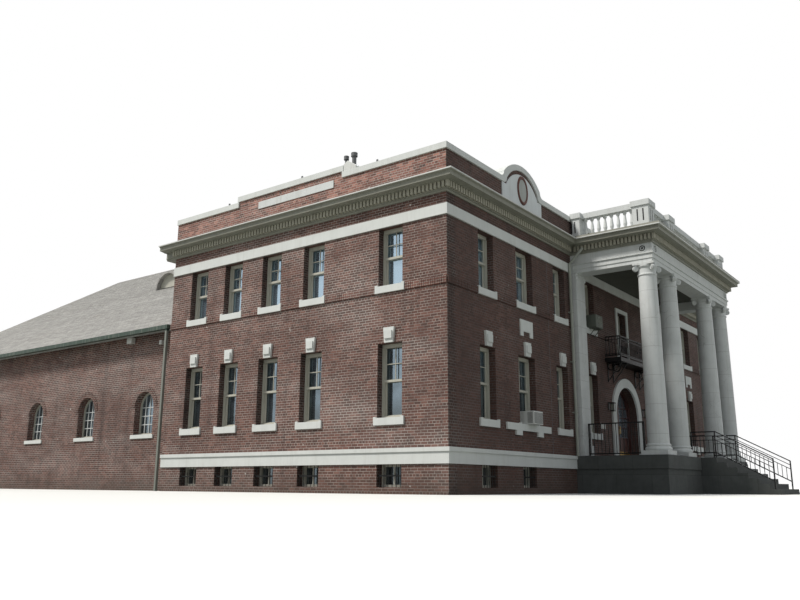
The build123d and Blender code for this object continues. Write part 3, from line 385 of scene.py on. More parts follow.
def ashlar(name, tone, length, height):
    """Large dressed blocks with thin joints."""
    n = Nodes(name)
    spot = n.wall_place()[0]
    block_tone, joint = n.courses(spot, 0.005, 0.3, length, height)
    base = n.mix(n.math("MULTIPLY", block_tone, 0.5), shaded(tone, 0.85), shaded(tone, 1.2))
    base = n.stain(base, shaded(tone, 0.6), (3.0, 6.0, 0.65), 0.4, 0.7, 0.6)
    base = n.runs(base, shaded(tone, 0.45), 5.0, 0.5, 0.5, 0.75, 0.5)
    base = n.mix(joint, base, shaded(tone, 0.4))
    n.bump(n.math("SUBTRACT", n.noise(40.0, 5.0, 0.65), joint), 0.004, 0.8)
    return n.finish(base, 0.88)


def shingles(name, tone, course):
    """Grey shingles in courses along the slope, with uneven tabs and dark weathering."""
    n = Nodes(name)
    x, y, z = n.axes()
    down = n.math("MULTIPLY", n.math("ABSOLUTE", x), -math.cos(roof_slope))
    up_slope = n.math("MULTIPLY_ADD", z, math.sin(roof_slope), down)
    spot = n.add("ShaderNodeCombineXYZ", {0: y, 1: up_slope}).outputs[0]
    tab_tone, gap = n.courses(spot, 0.007, 0.4, 0.31, course, joint_tone=0.2)
    base = n.mix(tab_tone, shaded(tone, 0.82), shaded(tone, 1.15))
    base = n.stain(base, shaded(tone, 0.68), (0.5, 6.0, 0.65), 0.4, 0.7, 0.35)
    base = n.stain(base, (0.30, 0.25, 0.20), (0.8, 4.0, 0.6), 0.58, 0.75, 0.20)
    base = n.mix(n.math("MULTIPLY", gap, 0.8), base, shaded(tone, 0.3))
    n.bump(n.math("SUBTRACT", n.noise(90.0, 2.0), gap), 0.006, 0.8)
    return n.finish(base, 0.9)


def gutter_paint(name, gutter, downspout):
    """Dark green gutters over downspouts of a paler grey green."""
    n = Nodes(name)
    gutter_foot = eave_top - 0.22
    above = n.math("GREATER_THAN", n.axes()[2], gutter_foot)
    tone = n.mix(above, shaded(downspout, 0.62), gutter)
    tone = n.runs(tone, shaded(downspout, 0.9), 12.0, 0.6, 0.48, 0.74, 0.45)
    n.bump(n.noise(20.0, 4.0), 0.002, 0.6)
    return n.finish(tone, 0.5, Metallic=0.2)


def glazing(name):
    """Dark glass with a painted reflection: dim below as of trees, pale blue higher up as of sky, a little
    uneven.
    """
    n = Nodes(name)
    unevenness, dim_level, sky_level = 3.4, 3.9, 7.2
    # Painted reflection: the glass's tone rises with height from dark to pale blue
    level = n.math("MULTIPLY_ADD", n.noise(0.9, 5.0, 0.65), unevenness, n.axes()[2])
    painted_sky_reflection = n.ramp(level, dim_level, sky_level)
    tone = n.mix(painted_sky_reflection, (0.150, 0.185, 0.205), (0.460, 0.600, 0.720))
    n.bump(n.noise(1.6, 2.0), 0.004, 0.25)
    return n.finish(tone, 0.06, Alpha=0.85, Metallic=0.80, Specular_IOR_Level=0.7)


def boards(name, tone, width):
    """Planks along X with gaps and a grain along their length."""
    n = Nodes(name)
    across = n.math("DIVIDE", n.axes()[1], width)
    number = n.math("FLOOR", across)
    gap = n.ramp(n.math("FRACT", across), 0.0, 0.04, 1.0, 0.0)
    board_tone = n.add("ShaderNodeTexWhiteNoise", {"W": number}, noise_dimensions="1D").outputs[0]
    grain = n.noise(5.0, 6.0, 0.6, (0.35, 6.0, 6.0))
    share = n.math("MULTIPLY_ADD", grain, 0.6, n.math("MULTIPLY", board_tone, 0.4))
    base = n.mix(gap, n.mix(share, shaded(tone, 0.6), tone), shaded(tone, 0.2))
    n.bump(n.math("SUBTRACT", grain, gap), 0.003, 0.6)
    return n.finish(base, 0.6)


# Meshes


def bar(bm, matrix, size):
    """A squared bar of a size about the origin of a matrix."""
    bmesh.ops.create_cube(bm, size=1, matrix=matrix @ Matrix.Diagonal((*size, 1)))


def block(bm, low, high):
    """A squared block between two corners."""
    low, high = Vector(low), Vector(high)
    small = Vector(map(min, low, high))
    large = Vector(map(max, low, high))
    bar(bm, Matrix.Translation((small + large) / 2), large - small)


def around(middle, half):
    """Two values, as far below a middle as above it."""
    return middle - half, middle + half


def middles(start, end, count):
    """The middles of equal parts of a stretch."""
    return [start + (end - start) * (number + 0.5) / count for number in range(count)]


def arc(radius, start, end, steps, centre=(0.0, 0.0), stretch=1.0):
    """Points along an arc, stretched upwards to an oval if asked."""
    angles = [start + (end - start) * number / steps for number in range(steps + 1)]
    across, up = centre
    return [(across + radius * math.cos(a), up + radius * stretch * math.sin(a)) for a in angles]


def circle(radius, steps=32, stretch=1.0):
    """Points round a circle, stretched upwards to an oval if asked."""
    return arc(radius, 0.0, 2 * math.pi, steps, stretch=stretch)[:-1]


class Face:
    """An upright face: its blocks are given along it, out from it and up."""

    def __init__(self, name, axis, plane, outward):
        self.name = name
        self.axis = axis
        self.plane = plane
        self.outward = outward

    def at(self, along, out, up):
        """The place of a point that is given along, out and up."""
        stand = self.plane + self.outward * out
        return Vector((along, stand, up)) if self.axis == 0 else Vector((stand, along, up))

    def block(self, bm, along, out, up):
        """A squared block between pairs of values along, out and up."""
        block(bm, self.at(along[0], out[0], up[0]), self.at(along[1], out[1], up[1]))

    def turn(self):
        """Matrix that carries x along the face, y up and z out of it."""
        along = Vector((1, 0, 0)) if self.axis == 0 else Vector((0, 1, 0))
        out = Vector((0, self.outward, 0)) if self.axis == 0 else Vector((self.outward, 0, 0))
        matrix = Matrix((along, Vector((0, 0, 1)), out)).transposed().to_4x4()
        matrix.translation = self.at(0, 0, 0)
        return matrix


FRONT = Face("front", 0, front_y, -1)
LEFT = Face("left", 1, -half_house, -1)
RIGHT = Face("right", 1, half_house, 1)
SIDES = (LEFT, RIGHT)
PORTICO_FRONT = Face("portico_front", 0, portico_front, -1)
PORTICO_SIDES = (
    Face("portico_left", 1, -portico_half, -1),
    Face("portico_right", 1, portico_half, 1),
)
HALL_END = Face("hall_end", 0, hall_end_y, 1)
HALL_SIDES = (
    Face("hall_left", 1, -half_hall, -1),
    Face("hall_right", 1, half_hall, 1),
)


def windows_of(face):
    """Centre, width, sill top and head of each window on the two main storeys of a face."""
    places = [(y, WIDTH) for y in SIDE_WINDOWS]
    if face is FRONT:
        widths = {x: WIDTH for x in (*WING_WINDOWS, PORCH_WINDOW)}
        widths[WIDE_WINDOW] = WIDE_WIDTH
        places = [(side * x, width) for side in (-1, 1) for x, width in widths.items()]
    return [(centre, width, low, high) for centre, width in places for low, high in STOREYS]


def basement_of(face):
    """Centre of each basement window of a face."""
    if face is FRONT:
        return [side * x for side in (-1, 1) for x in WING_WINDOWS[:2]]
    return SIDE_WINDOWS


def piece(bm, name, material, body="building", smooth=False, bevel=0.0):
    """Makes a finished object of a mesh, on its body and with its slot."""
    bmesh.ops.recalc_face_normals(bm, faces=bm.faces)
    mesh = bpy.data.meshes.new(name)
    bm.to_mesh(mesh)
    bm.free()
    mesh.materials.append(finish_of(material))
    obj = bpy.data.objects.new(name, mesh)
    bpy.context.scene.collection.objects.link(obj)
    if smooth:
        mesh.shade_smooth()
    if bevel:
        modifier = obj.modifiers.new("edges", "BEVEL")
        modifier.width = bevel
        modifier.segments = 1
        modifier.limit_method = "ANGLE"
    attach(obj, body)
    return obj


def loft(bm, matrix, outline, depth):
    """A flat outline, raised by a depth along z of its matrix."""
    verts = [bm.verts.new(matrix @ Vector((x, y, 0))) for x, y in outline]
    flat = bm.faces.new(verts)
    raised = bmesh.ops.extrude_face_region(bm, geom=[flat])["geom"]
    moved = [v for v in raised if isinstance(v, bmesh.types.BMVert)]
    step = matrix.to_3x3() @ Vector((0, 0, depth))
    bmesh.ops.translate(bm, verts=moved, vec=step)


def ring(bm, matrix, radius, thickness, stretch=(1, 1), segments=32, sides=8):
    """A ring of round section in the plane of its matrix, stretched to an oval if asked."""
    section = bmesh.ops.create_circle(
        bm,
        segments=sides,
        radius=thickness,
        matrix=Matrix.Translation((radius, 0, 0)) @ Matrix.Rotation(math.pi / 2, 4, "X"),
    )["verts"]
    edges = {edge for vert in section for edge in vert.link_edges}
    bmesh.ops.spin(
        bm, geom=[*section, *edges], cent=(0, 0, 0), axis=(0, 0, 1), angle=2 * math.pi, steps=segments,
        use_merge=True,
    )
    fresh = connected(section)
    bmesh.ops.scale(bm, verts=fresh, vec=(stretch[0], stretch[1], 1))
    bmesh.ops.transform(bm, matrix=matrix, verts=fresh)


def connected(start):
    """Every vertex that hangs together with the given ones."""
    found, queue = set(start), list(start)
    while queue:
        vert = queue.pop()
        for edge in vert.link_edges:
            other = edge.other_vert(vert)
            if other not in found:
                found.add(other)
                queue.append(other)
    return list(found)


def sweep(bm, loops):
    """Joins loops of points, one after another, into one closed body with flat ends."""
    rings = []
    for loop in loops:
        verts = [bm.verts.new(point) for point in loop]
        edges = [bm.edges.new(pair) for pair in zip(verts, verts[1:] + verts[:1])]
        rings.append((verts, edges))
    for (_, first), (_, second) in zip(rings, rings[1:]):
        bmesh.ops.bridge_loops(bm, edges=first + second)
    for verts, _ in (rings[0], rings[-1]):
        bmesh.ops.contextual_create(bm, geom=verts)


def tube(bm, points, radius, sides=8):
    """A round bar through points, with flat ends."""
    points = [Vector(p) for p in points]
    section = [Vector((x, y, 0)) for x, y in circle(radius, sides)]
    loops = []
    for index, point in enumerate(points):
        before = points[max(index - 1, 0)]
        after = points[min(index + 1, len(points) - 1)]
        turn = (after - before).to_track_quat("Z", "Y").to_matrix()
        loops.append([point + turn @ place for place in section])
    sweep(bm, loops)


def cornice_stations(out):
    """Corners of the cornice's line, drawn outwards: round the head house and the portico."""
    rear_gap = 0.02
    rear = rear_y + cornice_reach - rear_gap
    half = [
        (-half_house - out, rear),
        (-half_house - out, front_y - out),
        (-portico_half - out, front_y - out),
        (-portico_half - out, portico_front - out),
    ]
    return half + [(-x, y) for x, y in reversed(half)]


def moulding(bm, section, first=0, last=7):
    """A moulding that follows the cornice's line, from a section of places out and up."""
    lines = [[(*place, up) for place in cornice_stations(out)] for out, up in section]
    sweep(bm, [[line[station] for line in lines] for station in range(first, last + 1)])


def fillet(bm, back, out, foot, top):
    """A square-edged moulding along the cornice's line."""
    moulding(bm, ((back, foot), (out, foot), (out, top), (back, top)))


# Operators: one for each piece or group of like pieces


class ARMORY_OT_finishes(bpy.types.Operator):
    """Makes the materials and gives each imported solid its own."""

    bl_idname = "armory.finishes"
    bl_label = "Finishes"

    def execute(self, context):
        sizes, tones = context.scene.armory_sizes, context.scene.armory_colours
        # Painted shade: brick and parapet_brick darken their faces that look to the front, and the front
        # walls get a darker copy of the brick, joints too, as they stand out of the key light
        brickwork("brick", sizes, tones, spots=1.0, front=0.45)
        brickwork("front_brick_painted_shade", sizes, tones, weather=1.2, spots=0.25, bright=0.50, joints=0.30)
        brickwork("band_brick", sizes, tones, weather=0.7, spots=0.7, bright=1.30)
        brickwork("parapet_brick", sizes, tones, weather=0.3, spots=1.0, bright=2.10, joints=1.15, front=0.30)
        brickwork("hall_brick", sizes, tones, weather=1.3, spots=0.8)
        soot = (0.100, 0.096, 0.080)
        weathered("pale_stone", tones.stone, (0.38, 0.37, 0.33), 0.8, streak=0.22, relief=0.003)
        column_stone("white_column", tones.white, (0.34, 0.33, 0.30))
        weathered("white_paint", tones.white, (0.34, 0.33, 0.29), 0.65, streak=0.40)
        weathered("olive_paint", tones.olive, soot, 0.6, streak=0.35)
        weathered("gable_paint", tones.gable, (0.40, 0.40, 0.37), 0.65, streak=0.30)
        weathered("gable_plate", (0.42, 0.44, 0.42), (0.25, 0.25, 0.22), 0.65, streak=0.30)
        weathered("olive_light", tones.olive_light, soot, 0.6, streak=0.25)
        weathered("frame_paint", tones.frame, (0.20, 0.19, 0.15), 0.55, streak=0.3)
        weathered("door_wood", tones.door, (0.03, 0.015, 0.012), 0.42, streak=0.3)
        weathered("ring_paint", (0.115, 0.045, 0.036), (0.05, 0.03, 0.025), 0.7, streak=0.3)
        weathered("black_iron", tones.iron, (0.05, 0.025, 0.015), 0.42, streak=0.2, Metallic=0.6)
        gutter_paint("gutter_paint", tones.gutter, tones.downspout)
        weathered("downspout_paint", tones.downspout, (0.16, 0.17, 0.14), 0.55, streak=0.3)
        # Painted reflection: the side windows' shades are pale blue for the sky that the glass reflects
        weathered("sky_reflection_shade", tones.shade, shaded(tones.shade, 0.7), 0.9, streak=0.2)
        weathered("white_metal", (0.66, 0.67, 0.65), (0.30, 0.29, 0.26), 0.45)
        weathered("cooler_paint", tones.cooler, shaded(tones.cooler, 0.5), 0.5)
        weathered("brass", (0.60, 0.42, 0.16), (0.20, 0.13, 0.05), 0.35, Metallic=1.0)
        weathered("grille", (0.10, 0.105, 0.11), (0.03, 0.03, 0.03), 0.5)
        weathered("ceiling", (0.085, 0.088, 0.072), (0.04, 0.038, 0.03), 0.75)
        weathered("lamp_glass", (0.22, 0.23, 0.20), (0.08, 0.08, 0.07), 0.3)
        ashlar("porch_stone", tones.porch, 1.15, 0.60)
        weathered("concrete", (0.34, 0.33, 0.31), (0.18, 0.17, 0.16), 0.9, relief=0.004)
        shingles("shingle", tones.shingle, sizes.shingle_course)
        # The window glass carries a painted reflection of sky and trees
        glazing("window_glass")
        # Painted reflection: the door glass's pale blue stands for the sky it reflects
        weathered("door_glass", (0.42, 0.52, 0.60), (0.20, 0.26, 0.30), 0.12, streak=0.5, Metallic=0.8)
        boards("floor", (0.26, 0.17, 0.10), 0.10)
        weathered("roofing", (0.12, 0.12, 0.12), (0.05, 0.05, 0.05), 0.9, relief=0.004)
        slots = {item["node"]: item["material_slot"] for item in frame["record"]["subparts"]}
        special = {
            "roof_deck": "roofing",
            "hall_floor": "concrete",
            "portico_roof": "olive_paint",
            "hall_windows": "frame_paint",
            "door_sill": "pale_stone",
            **{node: "white_column" for node in frame["nodes"] if node.startswith("column_")},
            "pilasters": "white_column",
            # The front walls and the front parapet take the darker brick of painted shade
            **{node: "front_brick_painted_shade" for node in ("front_left_wall", "front_right_wall", "over_door_wall")},
            **{node: "parapet_brick" for node in ("left_parapet", "right_parapet")},
            "front_parapet": "front_brick_painted_shade",
            "left_door_glass": "door_glass",
            "right_door_glass": "door_glass",
        }
        for node, obj in frame["nodes"].items():
            material = finish_of(special.get(node, slots[node]))
            if not obj.material_slots:
                obj.data.materials.append(material)
            for slot in obj.material_slots:
                slot.material = material
        return {"FINISHED"}


class ARMORY_OT_sashes(bpy.types.Operator):
    """Sashes, glazing bars, head boards and casings of the windows, and pale blue shades behind the side
    ones, whose colour is a painted reflection of the sky.
    """

    bl_idname = "armory.sashes"
    bl_label = "Window sashes"

    def execute(self, context):
        bar_half = context.scene.armory_sizes.bar_width / 2
        for face in (FRONT, *SIDES):
            if face in SIDES:
                self.shades(face)
            bm = bmesh.new()
            for place in windows_of(face):
                self.window(bm, face, *place, bar_half)
            piece(bm, f"window_sashes_{face.name}", "frame_paint", bevel=0.004)
        return {"FINISHED"}

    @staticmethod
    def shades(face):
        """Thin pale blue shades behind the windows of one side; their colour is a painted reflection of the
        sky in the glass.
        """
        bm = bmesh.new()
        back = -RECESS - FRAME_DEPTH - 0.03
        for centre, width, low, high in windows_of(face):
            across = around(centre, width / 2 - FRAME_WIDTH)
            face.block(bm, across, (back, back - 0.004), (low + 0.03, high - 0.05))
        piece(bm, f"window_shades_{face.name}", "sky_reflection_shade")

    @staticmethod
    def window(bm, face, centre, width, low, high, bar_half):
        """One double-hung window: a divided upper sash in front of a plain lower one."""
        left, right = around(centre, width / 2)
        middle, lap = (low + high) / 2, 0.02
        casing, foot, head = 0.035, low + 0.045, high - 0.105
        face.block(bm, (left, right), around(-RECESS, 0.02), (head, high))
        for x in ((left, left + casing), (right - casing, right)):
            face.block(bm, x, (-RECESS + 0.03, -RECESS), (low, head))
        face.block(bm, (left, right), (-RECESS + 0.04, -RECESS), (low, foot))
        inner = (left + FRAME_WIDTH, right - FRAME_WIDTH)
        stile, top_rail = 0.045, high - FRAME_WIDTH
        upper = (-RECESS - 0.030, -RECESS - 0.062)
        lower = (-RECESS - 0.066, -RECESS - 0.098)
        for depth, bottom, top in ((upper, middle - lap, top_rail), (lower, foot, middle + lap)):
            for x in ((inner[0], inner[0] + stile), (inner[1] - stile, inner[1])):
                face.block(bm, x, depth, (bottom, top))
            for z in ((bottom, bottom + stile), (top - stile, top)):
                face.block(bm, (inner[0] + stile, inner[1] - stile), depth, z)
        pane = (middle - lap + stile, top_rail - stile)
        face.block(bm, around(centre, bar_half), upper, pane)
        for x in ((inner[0] + stile, centre - bar_half), (centre + bar_half, inner[1] - stile)):
            face.block(bm, x, upper, around((pane[0] + pane[1]) / 2, bar_half))


class ARMORY_OT_basement_guards(bpy.types.Operator):
    """Iron bars and sash rails in the basement windows."""

    bl_idname = "armory.basement_guards"
    bl_label = "Basement windows"

    def execute(self, context):
        low, high = BASEMENT
        half, bars, guard_depth = BASEMENT_WIDTH / 2, 6, -0.06
        for face in (FRONT, *SIDES):
            guards, rails = bmesh.new(), bmesh.new()
            for centre in basement_of(face):
                across = around(centre, half)
                for x in middles(*across, bars):
                    tube(guards, (face.at(x, guard_depth, low), face.at(x, guard_depth, high)), 0.009, 6)
                face.block(guards, across, around(guard_depth, 0.005), around((low + high) / 2, 0.02))
                upright = (low + FRAME_WIDTH, high - FRAME_WIDTH)
                face.block(rails, around(centre, 0.018), (-RECESS, -RECESS - 0.05), upright)
            piece(guards, f"basement_guards_{face.name}", "black_iron")
            piece(rails, f"basement_rails_{face.name}", "frame_paint")
        return {"FINISHED"}


class ARMORY_OT_soldier_band(bpy.types.Operator):
    """Band of upright bricks at the upper sills, brick by brick."""

    bl_idname = "armory.soldier_band"
    bl_label = "Soldier band"

    def execute(self, context):
        sizes = context.scene.armory_sizes
        gap, unevenness = sizes.joint / 2, 0.003
        rng = random.Random(7)
        for face in (FRONT, *SIDES):
            bm = bmesh.new()
            stops = [
                around(centre, width / 2 + SILL_EAR)
                for centre, width, sill, _ in windows_of(face)
                if sill == UPPER_SILL
            ]
            first, last = front_y, rear_y
            if face is FRONT:
                stops.append(around(0.0, portico_half + 0.005))
                first, last = around(0.0, half_house)
            stops = sorted([(first, first), *stops, (last, last)])
            for (_, start), (stop, _) in zip(stops, stops[1:]):
                count = max(1, round((stop - start) / sizes.course))
                step = (stop - start) / count
                for x in middles(start, stop, count):
                    out = sizes.band_proud + rng.uniform(-unevenness, unevenness)
                    upright = (UPPER_SILL - SILL_HEIGHT, UPPER_SILL)
                    face.block(bm, around(x, step / 2 - gap), (out, -0.002), upright)
            # The front's band takes the darker brick of painted shade, as the front walls do
            piece(bm, f"soldier_band_{face.name}", "band_brick" if face in SIDES else "front_brick_painted_shade")
        return {"FINISHED"}


class ARMORY_OT_dentils(bpy.types.Operator):
    """Dentils and beads under the cornice, and its pale metal edge, which is also a painted highlight of the
    lit top edge.
    """

    bl_idname = "armory.dentils"
    bl_label = "Dentils"

    def execute(self, context):
        sizes = context.scene.armory_sizes
        half, pitch = sizes.dentil_width / 2, sizes.dentil_pitch
        low, high = wall_top + 0.085, wall_top + 0.262
        reach, inside = 0.165, 0.22
        side = (rear_y, front_y - reach)
        wing = (-half_house - reach + pitch, -portico_half - inside)
        porch = (front_y - inside, portico_front - reach)
        runs = (
            *((face, *side) for face in SIDES),
            (FRONT, *wing),
            (FRONT, -wing[1], -wing[0]),
            *((face, *porch) for face in PORTICO_SIDES),
            (PORTICO_FRONT, *around(0.0, portico_half + reach - pitch)),
        )
        bm = bmesh.new()
        for face, start, end in runs:
            sign = 1 if end > start else -1
            first, last = start + sign * half, end - sign * half
            count = round(abs(last - first) / pitch)
            for number in range(count + 1):
                x = first + (last - first) * number / count
                face.block(bm, around(x, half), (0.06, reach), (low, high))
        piece(bm, "dentils", "olive_light")
        beads = bmesh.new()
        fillet(beads, 0.0, 0.095, wall_top + 0.055, low)
        fillet(beads, 0.0, 0.20, high - 0.002, high + 0.022)
        piece(beads, "cornice_beads", "olive_paint")
        # A pale strip on the cornice's top edge: its metal edge, and a painted highlight where that edge
        # catches the light
        edge = bmesh.new()
        fillet(edge, cornice_reach - 0.05, cornice_reach, cornice_top - 0.030, cornice_top + 0.004)
        piece(edge, "cornice_metal_edge_and_highlight", "white_metal")
        return {"FINISHED"}


class ARMORY_OT_portico_cornice(bpy.types.Operator):
    """Roof of the portico: its cornice, mitred at the corners, its deck and its ceiling."""

    bl_idname = "armory.portico_cornice"
    bl_label = "Portico roof"

    def execute(self, context):
        bm = bmesh.new()
        bed, dentils = wall_top + 0.09, wall_top + 0.26
        soffit, corona = wall_top + 0.30, wall_top + 0.41
        inside = -0.30
        moulding(
            bm,
            (
                (inside, wall_top),
                (0.042, wall_top),
                (0.070, bed),
                (0.070, dentils),
                (0.380, soffit),
                (0.380, corona),
                (0.400, corona + 0.012),
                (0.425, corona + 0.060),
                (cornice_reach - 0.005, corona + 0.125),
                (cornice_reach, cornice_top),
                (inside, cornice_top),
            ),
            first=2,
            last=5,
        )
        deck = portico_half + inside
        block(bm, (-deck, portico_front - inside, wall_top), (deck, front_y, cornice_top))
        beam = 0.64
        half, front = portico_half - beam, portico_front + beam
        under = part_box("portico_roof")[0][2]
        block(bm, (-half, front, under), (half, front_y, wall_top))
        roof = piece(bm, "portico_cornice", "olive_paint")
        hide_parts("portico_roof")
        return {"FINISHED"}


class ARMORY_OT_gables(bpy.types.Operator):
    """White panels with an upright ring in the curved gables, and the panels of the side parapets."""

    bl_idname = "armory.gables"
    bl_label = "Gable panels"

    def execute(self, context):
        bm, rings, plates = bmesh.new(), bmesh.new(), bmesh.new()
        low, step_z = cornice_top + 0.02, parapet_top - 0.01
        wide, narrow = 1.305, 1.04
        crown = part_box("front_coping")[1][2] - 0.31
        rise = crown - step_z
        radius = (narrow**2 + rise**2) / (2 * rise)
        half_turn = math.asin(narrow / radius)
        ring_z, ring_radius, ring_stretch, ring_thickness = 9.455, 0.298, 1.44, 0.042
        panel_proud, plate_proud = 0.028, 0.012
        for x in (-WIDE_WINDOW, WIDE_WINDOW):
            left, right = around(x, wide)
            crest = arc(radius, *around(math.pi / 2, half_turn), 24, centre=(x, crown - radius))
            outline = [(left, low), (right, low), (right, step_z), *crest, (left, step_z)]
            loft(bm, FRONT.turn(), outline, panel_proud)
            turn = FRONT.turn() @ Matrix.Translation((x, ring_z, panel_proud + 0.002))
            ring(rings, turn, ring_radius, ring_thickness, (1.0, ring_stretch), 40)
            loft(plates, turn, circle(ring_radius - 0.028, stretch=ring_stretch), plate_proud)
        piece(bm, "gable_panels", "gable_paint")
        piece(rings, "gable_rings", "ring_paint", smooth=True)
        piece(plates, "gable_ring_plates", "gable_plate")
        panels = bmesh.new()
        for face in SIDES:
            panel = (front_y + 4.13, front_y + 7.45)
            face.block(panels, panel, (0.0, 0.025), (parapet_top - 0.25, parapet_top))
        piece(panels, "side_parapet_panels", "white_paint", bevel=0.006)
        return {"FINISHED"}


class ARMORY_OT_door_leaves(bpy.types.Operator):
    """Arched heads, panes, bars, panels, kick plates and handles of the two front doors."""

    bl_idname = "armory.door_leaves"
    bl_label = "Front doors"

    def execute(self, context):
        faces = (Face("outside", 0, leaf_front, -1), Face("inside", 0, leaf_front + LEAF_THICK, 1))
        for side, body in ((-1, "left_leaf"), (1, "right_leaf")):
            name = body.split("_")[0]
            bars, brass = bmesh.new(), bmesh.new()
            for face in faces:
                self.fittings(bars, brass, face, side)
            piece(self.head(side), f"{name}_door_head", "door_wood", body)
            glass = piece(self.panes(side), f"{name}_door_panes", "door_glass", body)
            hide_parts(f"{name}_door_glass")
            piece(bars, f"{name}_door_bars", "door_wood", body, bevel=0.003)
            piece(brass, f"{name}_door_brass", "brass", body)
        return {"FINISHED"}

    @staticmethod
    def fittings(bars, brass, face, side):
        """Glazing bars, raised panels, kick plate and handle on one face of a leaf."""
        middle, bar_half, depth = (PANE_INNER + PANE_OUTER) / 2, 0.014, (0.001, -0.018)
        bar_levels = (2.42, LEAF_SPRING, 3.16)
        panel, panel_depth = (1.62, 1.98), (0.012, -0.002)
        kick_plate, plate_depth = (1.29, 1.52), (0.003, -0.002)
        top = LEAF_SPRING + math.sqrt(PANE_OUTER**2 - middle**2)
        face.block(bars, around(side * middle, bar_half), depth, (PANE_FOOT, top))
        for z in bar_levels:
            reach = math.sqrt(PANE_OUTER**2 - max(0.0, z - LEAF_SPRING) ** 2)
            face.block(bars, (side * PANE_INNER, side * reach), depth, around(z, bar_half))
        for x in ((PANE_INNER + 0.03, middle - 0.04), (middle + 0.04, PANE_OUTER - 0.03)):
            face.block(bars, (side * x[0], side * x[1]), panel_depth, panel)
        face.block(brass, (side * 0.04, side * (PANE_OUTER + 0.04)), plate_depth, kick_plate)
        handle = ((0.0, 2.16), (0.055, 2.18), (0.055, 2.46), (0.0, 2.48))
        tube(brass, [face.at(side * 0.062, out, z) for out, z in handle], 0.011)

    def head(self, side):
        """The leaf's round head with the top of its meeting stile, a little proud of the leaf."""
        meeting, stile_foot, spring = 0.005, 3.146, LEAF_SPRING - 0.01
        outline = [(LEAF_RADIUS, spring), *self.curve(LEAF_RADIUS, meeting)]
        outline += [(meeting, stile_foot), (PANE_INNER, stile_foot)]
        outline += [*reversed(self.curve(PANE_OUTER, PANE_INNER)), (PANE_OUTER, spring)]
        return self.slab(side, outline, LEAF_THICK + 0.004)

    def panes(self, side):
        """The leaf's glass, behind its bars."""
        outline = [(PANE_OUTER, PANE_FOOT), *self.curve(PANE_OUTER, PANE_INNER), (PANE_INNER, PANE_FOOT)]
        return self.slab(side, outline, 0.012)

    @staticmethod
    def curve(radius, meeting):
        """Points of a leaf's round head, from the jamb to its meeting edge."""
        return arc(radius, 0.0, math.acos(meeting / radius), 20, centre=(0.0, LEAF_SPRING))

    @staticmethod
    def slab(side, outline, depth):
        """An outline on one leaf, made solid about the middle of the leaf's thickness."""
        bm = bmesh.new()
        turn = Face("leaf", 0, leaf_front, -1).turn()
        turn @= Matrix.Translation((0, 0, -(LEAF_THICK + depth) / 2))
        loft(bm, turn, [(side * x, z) for x, z in outline], depth)
        return bm


class ARMORY_OT_balcony_rails(bpy.types.Operator):
    """Two lower rails and round knobs on the balcony's railing."""

    bl_idname = "armory.balcony_rails"
    bl_label = "Balcony rails"

    def execute(self, context):
        bm = bmesh.new()
        low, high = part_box("balcony_railing")
        inset, half, top = 0.02, 0.01, high[2]
        left, right, front = low[0] + inset, high[0] - inset, low[1] + inset
        for drop in (0.13, 0.66):
            foot, head = around(top - drop, 0.012)
            block(bm, (left - half, front - half, foot), (right, front + half, head))
            for x in (left, right):
                block(bm, (x - half, front, foot), (x + half, front_y, head))
        for x in (left, 0.0, right):
            for z, size in ((top, 0.036), (top - 0.40, 0.030)):
                place = Matrix.Translation((x, front, z - size))
                bmesh.ops.create_uvsphere(bm, u_segments=12, v_segments=8, radius=size, matrix=place)
        piece(bm, "balcony_rails", "black_iron")
        return {"FINISHED"}


class ARMORY_OT_stair_bars(bpy.types.Operator):
    """Lower rails and upright bars of the stair railings."""

    bl_idname = "armory.stair_bars"
    bl_label = "Stair bars"

    def execute(self, context):
        low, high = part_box("stair_railings")
        inset, rail_height, risers, tread, pitch = 0.02, 0.88, 7, 0.32, 0.14
        nosing, flight = porch_front - 0.50, (high[2] - rail_height) / risers / tread
        head, foot = high[1] - inset, low[1] + inset
        half = 0.009
        bm = bmesh.new()
        for x in (low[0] + inset, high[0] - inset):
            for drop in (0.16, 0.30):
                top = high[2] - drop
                end = (x, foot, top - (nosing - foot) * flight)
                tube(bm, ((x, head, top), (x, nosing, top), end), 0.014, 6)
            count = round((head - foot) / pitch)
            for number in range(1, count):
                y = head + (foot - head) * number / count
                top = high[2] - max(0.0, nosing - y) * flight
                block(bm, (x - half, y - half, top - 0.73), (x + half, y + half, top - 0.30))
        piece(bm, "stair_bars", "black_iron")
        return {"FINISHED"}


